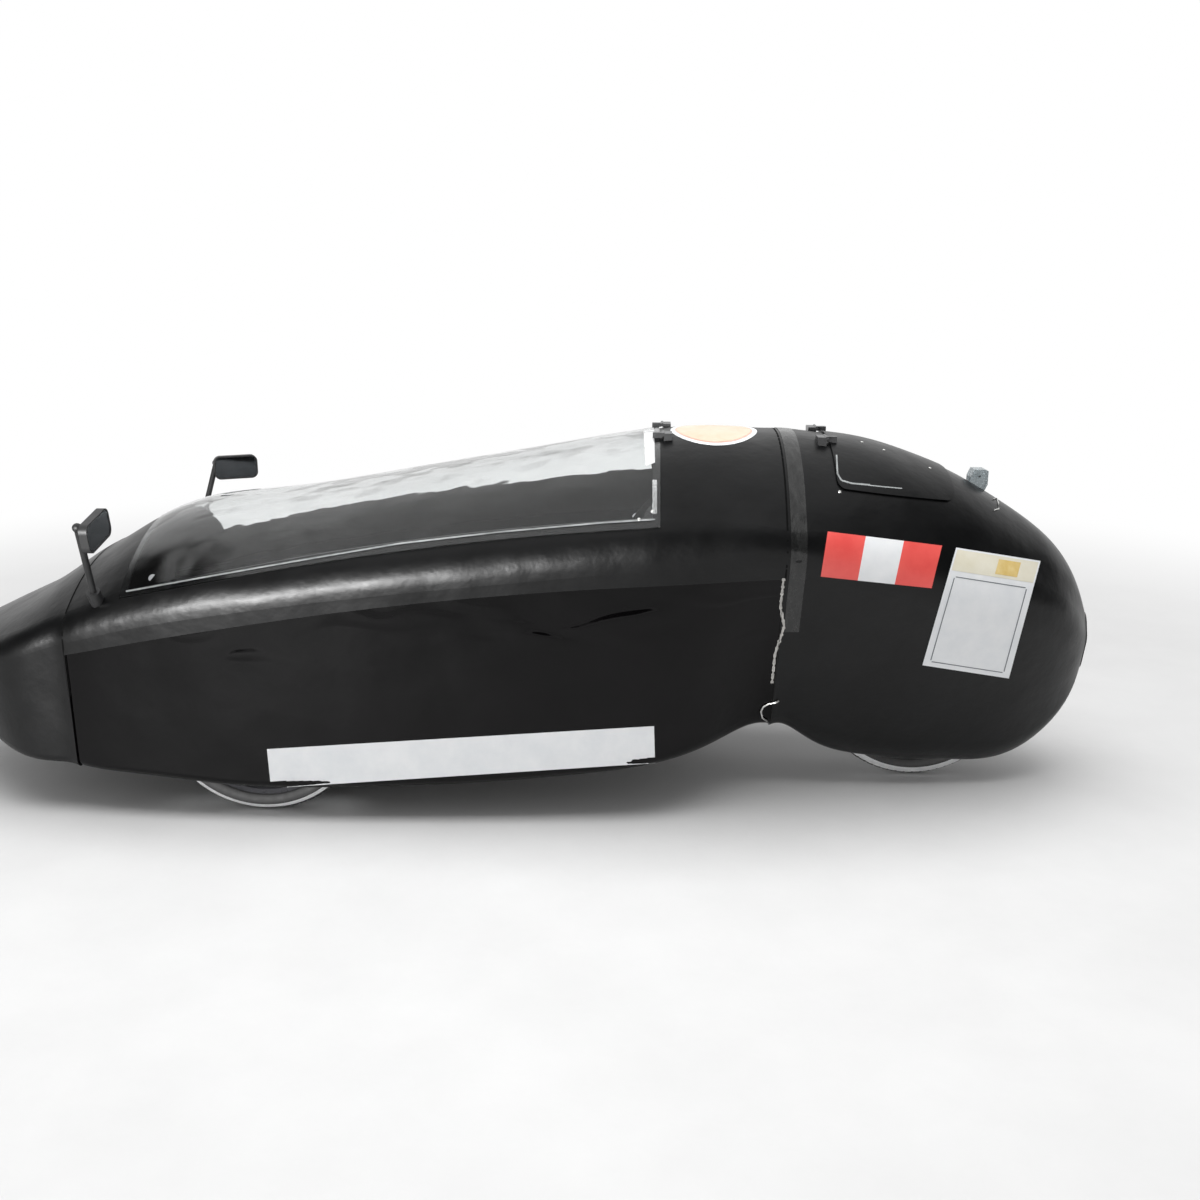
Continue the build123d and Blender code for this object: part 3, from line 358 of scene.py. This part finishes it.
# Cuts across the tread lie between two angles, and are shifted past the middle and past the second groove
cut_start, cut_end, cut_turn = 8, 44, 25
cut_pitch, cut_shift = 6, 2
bead_half = 0.0102
bead_outer, bead_inner = 0.2093, 0.2033


def groove(angle, step):
    """Depth of the tread at an angle from its middle and a step round the tyre."""
    size = abs(angle)
    if any(start <= size <= end for start, end in ring_grooves):
        return groove_depth
    shift = (cut_shift if angle < 0 else 0) + (cut_shift if size > cut_turn else 0)
    if cut_start < size < cut_end and (step + shift) % cut_pitch == 0:
        return groove_depth
    return 0.0


def tyre_piece(name, body, centre_x, centre_y, stripe):
    core = tyre_radius - tyre_half
    stripe_angles = [math.degrees(math.acos((radius - core) / tyre_half)) for radius in stripe]
    half = sorted(set(tread_angles + stripe_angles + sidewall_angles))
    angles = [-angle for angle in reversed(half[1:])] + half
    profile = []
    for angle in angles:
        offset = tyre_half * math.sin(math.radians(angle))
        profile.append((offset, core + tyre_half * math.cos(math.radians(angle)), angle))
    bead = [(bead_half, bead_outer), (bead_half, bead_inner)]
    bead += [(-offset, radius) for offset, radius in reversed(bead)]
    points, faces, indices = [], [], []
    row_length = len(profile) + len(bead)
    for step in range(tread_steps):
        turn = 2 * math.pi * step / tread_steps
        for offset, radius, angle in profile:
            depth = groove(angle, step)
            r = radius - depth * math.cos(math.radians(angle))
            y = offset - depth * math.sin(math.radians(angle))
            points.append((centre_x + r * math.cos(turn), centre_y + y, tyre_radius + r * math.sin(turn)))
        for offset, radius in bead:
            x, z = radius * math.cos(turn), radius * math.sin(turn)
            points.append((centre_x + x, centre_y + offset, tyre_radius + z))
    low, high = min(stripe_angles), max(stripe_angles)
    for step in range(tread_steps):
        here, there = step * row_length, ((step + 1) % tread_steps) * row_length
        for column in range(row_length):
            after = (column + 1) % row_length
            faces.append((here + column, there + column, there + after, here + after))
            in_profile = column < len(profile) and after < len(profile)
            middle = (abs(profile[column][2]) + abs(profile[after][2])) / 2 if in_profile else 180
            indices.append(1 if low < middle < high else 0)
    piece = mesh_piece(name, points, faces, [rubber, reflex], body, indices)
    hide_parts(name.replace("_tread", ""))
    return piece


# Columns: name, body, place, offset across the vehicle, inner and outer radius of the stripe
for row in (
    ("tyre_front_left_tread", "front_left_wheel", front_axle, -half_track, (0.2325, 0.2415)),
    ("tyre_front_right_tread", "front_right_wheel", front_axle, half_track, (0.2325, 0.2415)),
    ("tyre_rear_tread", "rear_wheel", rear_axle, 0.0, (0.2285, 0.2440)),
):
    tyre_piece(*row)


# Films and tape laid on the shell, placed where they show in the photograph: their corners and routes
# are its pixels, and their lift is the height over the skin. Among them, near-black lines paint the shade
# in the shell's seams and pale lines paint highlights along the edges of the canopy and the lid

outside = 0.9
# Places across a ribbon, as shares of its half width
ribbon_columns = (-1, -0.33, 0.33, 1)


def through(pixel):
    """Direction from the camera through a pixel."""
    across, down = (pixel[0] - image_middle) / focal, (image_middle - pixel[1]) / focal
    return (forward + right * across + up * down).normalized()


def laid(tree, start, direction, lift):
    """Place where a ray meets the shell, lifted off it, or nothing."""
    place, normal, _, _ = tree.ray_cast(start, direction)
    if place is None:
        return None
    if normal.dot(direction) > 0:
        normal = -normal
    return place + normal * lift


def laid_sheet(name, tree, rays, lift, material, body="vehicle", twin=True):
    """Thin sheet laid where a grid of rays meets the shell, and its twin on the far side."""
    columns = len(rays[0])
    points = [laid(tree, start, direction, lift) for row in rays for start, direction in row]
    faces = []
    for row in range(len(rays) - 1):
        for column in range(columns - 1):
            index = row * columns + column
            quad = (index, index + 1, index + columns + 1, index + columns)
            if all(points[corner] is not None for corner in quad):
                faces.append(quad)
    spare = next(point for point in points if point is not None)
    points = [point if point is not None else spare for point in points]
    for side, mirror in (("near", 1), ("far", -1)) if twin else (("whole", 1),):
        places = [Vector((point.x, mirror * point.y, point.z)) for point in points]
        mesh_piece(f"{name}_{side}", places, faces, [material], body)


def film(name, tree, corners, steps, lift, material, body="vehicle"):
    """Film between four pixels, in order round it."""
    a, b, c, d = [Vector(corner) for corner in corners]
    rays = []
    for row in range(steps[1] + 1):
        v = row / steps[1]
        ends = a.lerp(b, v), d.lerp(c, v)
        pixels = [ends[0].lerp(ends[1], column / steps[0]) for column in range(steps[0] + 1)]
        rays.append([(camera_place, through(pixel)) for pixel in pixels])
    laid_sheet(name, tree, rays, lift, material, body)


def ribbon(name, tree, route, width, lift, material, body="vehicle", count=60, ragged=0.0):
    """Strip along pixels of a route, its width across the route in pixels, its edges more or less ragged."""
    lengths = [0.0]
    for here, there in zip(route, route[1:]):
        lengths.append(lengths[-1] + (Vector(there) - Vector(here)).length)
    rays = []
    for step in range(count + 1):
        reach = lengths[-1] * step / count
        index = min(len(route) - 2, max(0, sum(length <= reach for length in lengths) - 1))
        here, there = Vector(route[index]), Vector(route[index + 1])
        share = (reach - lengths[index]) / (lengths[index + 1] - lengths[index])
        along = (there - here).normalized()
        across = Vector((-along.y, along.x))
        half = width / 2 * (1 + ragged * math.sin(step * 2.3) * math.sin(step * 0.71 + 1))
        middle = here.lerp(there, share)
        rays.append([(camera_place, through(middle + across * half * side)) for side in ribbon_columns])
    laid_sheet(name, tree, rays, lift, material, body)


def hoop(name, places, centre_z, spread, lift, material, count=72):
    """Band over the crown from side to side, between places along the body."""
    rays = []
    for step in range(count + 1):
        turn = math.radians(spread * (2 * step / count - 1))
        inward = Vector((0, -math.sin(turn), -math.cos(turn)))
        rays.append([(Vector((x, 0, centre_z)) - inward * outside, inward) for x in places])
    laid_sheet(name, skin_tree, rays, lift, material, twin=False)


lower_tree, upper_tree, tail_tree = tree_of("lower_shell"), tree_of("upper_shell"), tree_of("tail_shell")
skin_tree = tree_of("nose_shell", "upper_shell", "lower_shell", "tail_shell")
canopy_tree = tree_of("canopy_sheet")
lid_tree = tree_of("hatch_lid")
lid_edge_tree = tree_of("hatch_lid", "tail_shell")
seam_x, nose_seam_x = front_axle + 1.215, front_axle - 0.424
tape_places = [seam_x + 0.008 + 0.009 * column for column in range(5)]
# The two seam lines are near-black sheets that paint the shade in the seams between the nose, body and tail
# shells
# Columns: name, places along the body, height of the middle, half angle from the top in degrees, lift
# and material
for row in (
    ("tail_seam_line", [seam_x - 0.0015, seam_x + 0.0025], 0.42, 112, 0.0003, painted_seam_shadow),
    ("tail_seam_tape", tape_places, 0.42, 82, 0.0009, seam_tape),
    ("nose_seam_line", [nose_seam_x - 0.0022, nose_seam_x + 0.0022], 0.34, 96, 0.0004, painted_seam_shadow),
):
    hoop(*row)
ribbon(
    "tail_bulkhead_edge", skin_tree, [(783.7, 578), (780.5, 606), (784, 626), (775, 654), (772, 683)],
    width=2.6, lift=0.0012, material=pale_edge, ragged=0.6,
)
# Pale line that paints the highlight along the canopy's lower edge
canopy_edge_route = [
    (126, 591.5), (200, 578), (300, 560.5), (400, 543.5), (500, 532), (600, 523), (655, 519.5),
]
ribbon(
    "canopy_edge_line", canopy_tree, canopy_edge_route,
    width=1.6, lift=0.0005, material=painted_edge_highlight, body="canopy",
)
# Columns: name, corners, steps, lift
for name, corners, steps, lift in (
    ("canopy_tape_top", [(643.5, 427), (645.5, 466), (655, 463), (654, 426)], (6, 16), 0.0007),
    ("canopy_edge_clear", [(652.5, 480), (652.5, 514), (657, 514), (657, 480)], (4, 10), 0.0006),
):
    film(name, canopy_tree, corners, steps, lift, clear_tape, body="canopy")
# Pale lines that paint the highlight along the lid's front and lower edges
# Columns: name, route, width
for name, route, width in (
    ("lid_edge_front", [(836.5, 455), (837.5, 474), (841.5, 480.5), (852, 483.5), (870, 485)], 1.6),
    ("lid_edge_low", [(870, 485.5), (885, 487), (902, 488.5)], 1.1),
):
    ribbon(
        name, lid_edge_tree, route, width,
        lift=0.0005, material=painted_edge_highlight, body="hatch", count=30,
    )
film(
    "side_strip", lower_tree, [(267, 749), (271, 788), (655, 763), (654, 726)], (48, 6),
    lift=0.0006, material=white_vinyl,
)
flag = [Vector(corner) for corner in ((827.7, 531.5), (820.7, 576.5), (931.5, 588.2), (942.0, 545.6))]
flag_bands = (red_vinyl, white_vinyl, red_vinyl)
for index, material in enumerate(flag_bands):
    ends = index / len(flag_bands), (index + 1) / len(flag_bands)
    top = [flag[0].lerp(flag[3], end) for end in ends]
    bottom = [flag[1].lerp(flag[2], end) for end in ends]
    corners = [top[0], bottom[0], bottom[1], top[1]]
    film(f"flag_band_{index + 1}", tail_tree, corners, (10, 10), 0.0006, material)

plate = [Vector(corner) for corner in ((956.0, 547.6), (922.3, 665.0), (1008.7, 678.3), (1040.4, 561.0))]


def on_plate(u, v):
    """Pixel at a share of the plate's width and of its height."""
    return plate[0].lerp(plate[3], u).lerp(plate[1].lerp(plate[2], u), v)


# Columns: name, shares of the width where it starts and ends, shares of the height, steps, lift, material
for name, u0, u1, v0, v1, steps, lift, material in (
    ("number_plate", 0, 1, 0, 1, (16, 22), 0.0008, white_vinyl),
    ("plate_header", 0.02, 0.98, 0.015, 0.19, (14, 4), 0.0012, header_vinyl),
    ("plate_header_mark", 0.52, 0.78, 0.04, 0.165, (8, 4), 0.0015, ochre_vinyl),
    ("plate_line_1", 0.09, 0.91, 0.235, 0.243, (10, 10), 0.0012, ink),
    ("plate_line_2", 0.09, 0.91, 0.955, 0.963, (10, 10), 0.0012, ink),
    ("plate_line_3", 0.07, 0.082, 0.25, 0.948, (10, 10), 0.0012, ink),
    ("plate_line_4", 0.918, 0.93, 0.25, 0.948, (10, 10), 0.0012, ink),
):
    corners = [on_plate(u0, v0), on_plate(u0, v1), on_plate(u1, v1), on_plate(u1, v0)]
    film(name, tail_tree, corners, steps, lift, material)

disc_centre = (front_axle + 1.066, -0.02)
disc_rings, disc_turns = 8, 48
above = 2.0


def oval(name, radii, lift, material):
    """Round film on the crown of the hood, its radii along and across given from above."""
    points = [laid(upper_tree, Vector((*disc_centre, above)), Vector((0, 0, -1)), lift)]
    for ring in range(1, disc_rings + 1):
        for step in range(disc_turns):
            turn = 2 * math.pi * step / disc_turns
            x = disc_centre[0] + radii[0] * ring / disc_rings * math.cos(turn)
            y = disc_centre[1] + radii[1] * ring / disc_rings * math.sin(turn)
            points.append(laid(upper_tree, Vector((x, y, above)), Vector((0, 0, -1)), lift))
    mesh_piece(name, points, disc_faces(disc_rings, disc_turns), [material], "vehicle")


oval("hood_disc_edge", (0.104, 0.130), 0.0006, white_vinyl)
oval("hood_disc_ring", (0.093, 0.117), 0.0009, pink_vinyl)
oval("hood_disc", (0.089, 0.112), 0.0012, cream_vinyl)


# Small metal pieces: hook under the tail's seam, clip on the bracket's foot and a bolt head on the lid;
# white dots on the lid's crown and at the canopy's latches paint glints


def on_skin(tree, pixel, lift):
    """Place where a pixel shows the skin."""
    return laid(tree, camera_place, through(pixel), lift)


def wire_piece(name, tree, pixels, lift, radius, sides=10):
    """Round wire along the skin through pixels, closed at both ends."""
    route = [on_skin(tree, pixel, lift) for pixel in pixels]
    points, faces = [], []
    for index, place in enumerate(route):
        along = (route[min(index + 1, len(route) - 1)] - route[max(index - 1, 0)]).normalized()
        first = along.cross(Vector((0, 1, 0)) if abs(along.y) < 0.9 else Vector((1, 0, 0))).normalized()
        second = along.cross(first)
        for step in range(sides):
            turn = 2 * math.pi * step / sides
            points.append(place + (first * math.cos(turn) + second * math.sin(turn)) * radius)
    for ring in range(len(route) - 1):
        for step in range(sides):
            low, after = ring * sides, (step + 1) % sides
            faces.append((low + step, low + after, low + sides + after, low + sides + step))
    faces.append(tuple(reversed(range(sides))))
    faces.append(tuple(range((len(route) - 1) * sides, len(route) * sides)))
    return mesh_piece(name, points, faces, [white_metal_and_glint], "vehicle")


hook_pixels = [(778.5, 700), (775, 702), (769, 703), (763, 706), (760.5, 711), (762, 717), (767, 720)]
clip_pixels = [(993, 499.5), (996.5, 499), (998, 504), (998.2, 509.5), (994, 510.5)]
wire_piece("tail_hook", skin_tree, hook_pixels, lift=0.003, radius=0.0022)
wire_piece("tail_clip", tail_tree, clip_pixels, lift=0.0022, radius=0.0014)

dome_turns = 20
# Columns: share of the radius, share of the height
dome_rings = ((0.35, 0.94), (0.65, 0.76), (0.88, 0.42), (1.0, -0.2))


def dome(name, tree, pixel, radius, height, body):
    """Low round white head on the skin where a pixel shows it: a bolt head, and elsewhere a dot that paints
    a glint.
    """
    centre = on_skin(tree, pixel, 0.0)
    _, normal, _, _ = tree.ray_cast(camera_place, through(pixel))
    if normal.dot(through(pixel)) > 0:
        normal = -normal
    first = normal.cross(Vector((0, 0, 1))).normalized()
    second = normal.cross(first)
    points = [centre + normal * height]
    for share, rise in dome_rings:
        for step in range(dome_turns):
            turn = 2 * math.pi * step / dome_turns
            way = first * math.cos(turn) + second * math.sin(turn)
            points.append(centre + way * radius * share + normal * height * rise)
    return mesh_piece(name, points, disc_faces(len(dome_rings), dome_turns), [white_metal_and_glint], body)


# The lid's bolt is a real head; the other white dots paint glints on the lid's crown and at the canopy's
# latches
# Columns: name, what it sits on, body, pixel, radius, height
for name, tree, body, pixel, radius, height in (
    ("lid_bolt", lid_edge_tree, "vehicle", (839.7, 491.8), 0.004, 0.002),
    ("lid_glint_1", lid_tree, "hatch", (862, 442), 0.0036, 0.0018),
    ("lid_glint_2", lid_tree, "hatch", (884, 450), 0.0036, 0.0018),
    ("lid_glint_3", lid_tree, "hatch", (930, 468), 0.0036, 0.0018),
    ("latch_glint_1", canopy_tree, "canopy", (639, 519.5), 0.0045, 0.003),
    ("latch_glint_2", canopy_tree, "canopy", (652.5, 511.5), 0.0045, 0.003),
):
    dome(name, tree, pixel, radius, height, body)


# Chain: roller links along the same loop as the plain one

idler_place = front_axle + 0.440
chain_offset = 0.048
# Columns: place, height, radius, less than nothing where the loop bends back
chain_circles = [
    (front_axle - 0.400, 0.345, 0.088),
    (idler_place, 0.206, 0.028),
    (rear_axle, tyre_radius, 0.034),
    (idler_place, 0.262, -0.028),
]
link_pitch = 0.0127
bend_step, straight_step = 0.001, 0.002
plate_radius, plate_half = 0.0042, 0.00045
# Angles of the points round the end of a plate, in degrees
plate_angles = [-78 + 26 * k for k in range(7)]
inner_gap, outer_gap = 0.0026, 0.0036
roller_radius, roller_half, roller_sides = 0.0038, 0.002, 10
pin_radius, pin_half, pin_sides = 0.0017, 0.004, 8


def chain_loop():
    """Points at equal steps along the loop, as many as make whole links."""
    circles = [(Vector((x, z)), radius) for x, z, radius in chain_circles]
    runs = []
    for (here, near), (there, far) in zip(circles, circles[1:] + circles[:1]):
        along = (there - here).normalized()
        share = (far - near) / (there - here).length
        normal = along * share + Vector((-along.y, along.x)) * math.sqrt(1 - share * share)
        runs.append((here - normal * near, there - normal * far))
    fine = []
    for index, (centre, radius) in enumerate(circles):
        arrive, leave = runs[index - 1][1], runs[index][0]
        first, last = [math.atan2(point.y - centre.y, point.x - centre.x) for point in (arrive, leave)]
        turn = (last - first) % (2 * math.pi) if radius > 0 else -((first - last) % (2 * math.pi))
        steps = max(4, int(abs(turn * radius) / bend_step))
        for k in range(steps):
            angle = first + turn * k / steps
            fine.append(centre + Vector((math.cos(angle), math.sin(angle))) * abs(radius))
        start, end = runs[index]
        steps = max(1, int((end - start).length / straight_step))
        fine += [start.lerp(end, k / steps) for k in range(steps)]
    fine.append(fine[0])
    lengths = [0.0]
    for here, there in zip(fine, fine[1:]):
        lengths.append(lengths[-1] + (there - here).length)
    count = 2 * round(lengths[-1] / link_pitch / 2)
    points, segment = [], 0
    for step in range(count):
        reach = lengths[-1] * step / count
        while lengths[segment + 1] < reach:
            segment += 1
        share = (reach - lengths[segment]) / (lengths[segment + 1] - lengths[segment])
        points.append(fine[segment].lerp(fine[segment + 1], share))
    return points


def prism(points, faces, outline, middle, half):
    """Straight prism across the vehicle from an outline of places and heights."""
    base, count = len(points), len(outline)
    points += [(x, y, z) for y in (middle - half, middle + half) for x, z in outline]
    faces += [tuple(base + k for k in range(count)), tuple(base + 2 * count - 1 - k for k in range(count))]
    for k in range(count):
        after = (k + 1) % count
        faces.append((base + k, base + count + k, base + count + after, base + after))


def ring_outline(centre, radius, sides):
    turns = [2 * math.pi * k / sides for k in range(sides)]
    return [(centre.x + radius * math.cos(turn), centre.y + radius * math.sin(turn)) for turn in turns]


def chain_links():
    pins = chain_loop()
    points, faces = [], []
    for index, here in enumerate(pins):
        there = pins[(index + 1) % len(pins)]
        along = (there - here).normalized()
        side = Vector((-along.y, along.x))
        outline = []
        for centre, way in ((here, -1), (there, 1)):
            for angle in plate_angles:
                turn = math.radians(angle)
                spot = centre + (along * way * math.cos(turn) + side * way * math.sin(turn)) * plate_radius
                outline.append((spot.x, spot.y))
        gap = inner_gap if index % 2 else outer_gap
        for y in (-gap, gap):
            prism(points, faces, outline, chain_offset + y, plate_half)
        prism(points, faces, ring_outline(here, roller_radius, roller_sides), chain_offset, roller_half)
        prism(points, faces, ring_outline(here, pin_radius, pin_sides), chain_offset, pin_half)
    piece = mesh_piece("chain_links", points, faces, [chain_steel], "vehicle", smooth=False)
    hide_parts("chain")


chain_links()


# Seat cushion: a padded form inside the seat pad's space, with sewn channels across it

voxel_size = 0.006
smooth_factor, smooth_rounds = 0.5, 14
channel_pitch, channel_depth, channel_share = 0.062, 0.005, 0.22
# Slope that keeps the channels evenly apart on the seat and up the back
channel_slope = 0.9
# Least upward part of the normal where the cushion has channels
channel_facing = 0.2


def applied(piece):
    """The piece's mesh with its modifiers taken in."""
    made = bpy.data.meshes.new_from_object(piece.evaluated_get(bpy.context.evaluated_depsgraph_get()))
    piece.modifiers.clear()
    piece.data = made
    return made


def cushion():
    piece = bpy.data.objects.new("seat_cushion", nodes["seat_pad"].data.copy())
    bpy.context.scene.collection.objects.link(piece)
    remesh = piece.modifiers.new("remesh", "REMESH")
    remesh.mode, remesh.voxel_size = "VOXEL", voxel_size
    bpy.context.view_layer.update()
    applied(piece)
    smooth = piece.modifiers.new("smooth", "SMOOTH")
    smooth.factor, smooth.iterations = smooth_factor, smooth_rounds
    made = applied(piece)
    made.materials.clear()
    made.materials.append(seat_cloth)
    normals = [vertex.normal.copy() for vertex in made.vertices]
    for vertex, normal in zip(made.vertices, normals):
        along = vertex.co.x + channel_slope * vertex.co.z
        channel = abs((along / channel_pitch) % 1.0 - 0.5) * 2
        if normal.z > channel_facing and channel > 1 - channel_share:
            vertex.co -= normal * channel_depth * (1 - (1 - channel) / channel_share) ** 2
    made.polygons.foreach_set("use_smooth", [True] * len(made.polygons))
    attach(piece, "vehicle")
    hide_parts("seat_pad")
    return piece


cushion()


# Floor, light and backdrop: a wide pale floor that goes over into white all round

floor_radius = 14.0
floor_rings, floor_turns = 16, 96
# How much closer the floor's rings lie towards the middle
floor_growth = 1.4
fade_start, fade_end = 1.6, 4.4
dark_wall, bright_ceiling, soft_light, white = 0.06, 0.95, 0.5, 1.0
# Upward part of a direction, under which what is seen through the canopy is white
white_below = 0.3


def ray_kinds(tree, *kinds):
    """One for rays of the given kinds, and nothing for the rest."""
    paths = tree.nodes.new("ShaderNodeLightPath")
    total = paths.outputs[kinds[0]]
    for kind in kinds[1:]:
        total = combined(tree, "MAXIMUM", total, paths.outputs[kind])
    return total


def mixed(tree, share, first, second):
    mix = tree.nodes.new("ShaderNodeMixShader")
    tree.links.new(share, mix.inputs["Fac"])
    tree.links.new(first.outputs[0], mix.inputs[1])
    tree.links.new(second.outputs[0], mix.inputs[2])
    return mix


def pale_stage():
    points = [(0.0, 0.0, 0.0)]
    for ring in range(1, floor_rings + 1):
        reach = floor_radius * (ring / floor_rings) ** floor_growth
        for step in range(floor_turns):
            turn = 2 * math.pi * step / floor_turns
            points.append((reach * math.cos(turn), reach * math.sin(turn), 0.0))
    mesh = bpy.data.meshes.new("floor")
    mesh.from_pydata(points, [], disc_faces(floor_rings, floor_turns))
    stage = bpy.data.objects.new("floor", mesh)
    bpy.context.scene.collection.objects.link(stage)
    mat = surface(
        "pale_floor", (0.70, 0.70, 0.70), (0.74, 0.74, 0.74), (0.6, 0.72), 3.0,
        [(60.0, 3.0, 0.0004)], Specular_IOR_Level=0.2,
    )
    mesh.materials.append(mat)
    tree = mat.node_tree
    place = add(mat, "ShaderNodeTexCoord")
    reach = add(mat, "ShaderNodeVectorMath")
    reach.operation = "LENGTH"
    tree.links.new(place.outputs["Object"], reach.inputs[0])
    rise = eased(tree, reach.outputs["Value"], fade_start, fade_end)
    kinds = ray_kinds(tree, "Is Camera Ray", "Is Glossy Ray", "Is Transmission Ray")
    share = combined(tree, "MULTIPLY", rise, kinds)
    glow = tree.nodes.new("ShaderNodeEmission")
    mix = mixed(tree, share, tree.nodes["Principled BSDF"], glow)
    tree.links.new(mix.outputs[0], tree.nodes["Material Output"].inputs["Surface"])


def backdrop(tree, strength):
    node = tree.nodes.new("ShaderNodeBackground")
    node.inputs["Color"].default_value = (1, 1, 1, 1)
    node.inputs["Strength"].default_value = strength
    return node


def surroundings():
    """White to look at and through, soft light all round, bright ceiling and dark walls in what gleams."""
    world = bpy.data.worlds.new("world")
    bpy.context.scene.world = world
    world.use_nodes = True
    tree = world.node_tree
    tree.nodes.clear()
    output = tree.nodes.new("ShaderNodeOutputWorld")
    direction = tree.nodes.new("ShaderNodeTexCoord")
    split = tree.nodes.new("ShaderNodeSeparateXYZ")
    tree.links.new(direction.outputs["Generated"], split.inputs[0])
    # The gleam goes from dark to bright between two values of the direction, upward and to the far side
    ceiling = eased(tree, split.outputs["Z"], 0.74, 0.84)
    far_side = eased(tree, split.outputs["Y"], 0.15, 0.45)
    bright = combined(tree, "MAXIMUM", ceiling, far_side)
    gleam = mixed(tree, bright, backdrop(tree, dark_wall), backdrop(tree, bright_ceiling))
    mirrored = ray_kinds(tree, "Is Glossy Ray", "Is Transmission Ray")
    lit = mixed(tree, mirrored, backdrop(tree, soft_light), gleam)
    low = combined(tree, "LESS_THAN", split.outputs["Z"], white_below)
    seen_through = combined(tree, "MULTIPLY", low, ray_kinds(tree, "Is Transmission Ray"))
    seen = combined(tree, "MAXIMUM", seen_through, ray_kinds(tree, "Is Camera Ray"))
    whole = mixed(tree, seen, lit, backdrop(tree, white))
    tree.links.new(whole.outputs[0], output.inputs["Surface"])


def area_light(name, place, target, size, power, gleams):
    """Light that is seen only in what gleams, or else only on matt surfaces."""
    data = bpy.data.lights.new(name, "AREA")
    data.shape = "RECTANGLE"
    data.size, data.size_y = size
    data.energy = power
    light = bpy.data.objects.new(name, data)
    light.location = place
    light.rotation_euler = (Vector(target) - Vector(place)).to_track_quat("-Z", "Y").to_euler()
    light.visible_glossy, light.visible_diffuse, light.visible_transmission = gleams, not gleams, False
    bpy.context.scene.collection.objects.link(light)


pale_stage()
surroundings()
area_light("front_strip", (-1.9, -4.0, 1.12), (-0.5, 0, 0.55), size=(1.9, 0.4), power=440, gleams=True)
area_light("overhead", (0.0, -0.6, 3.8), (0, 0, 0.4), size=(4.4, 3.2), power=175, gleams=False)

scene = bpy.context.scene
scene.view_settings.view_transform = "Standard"
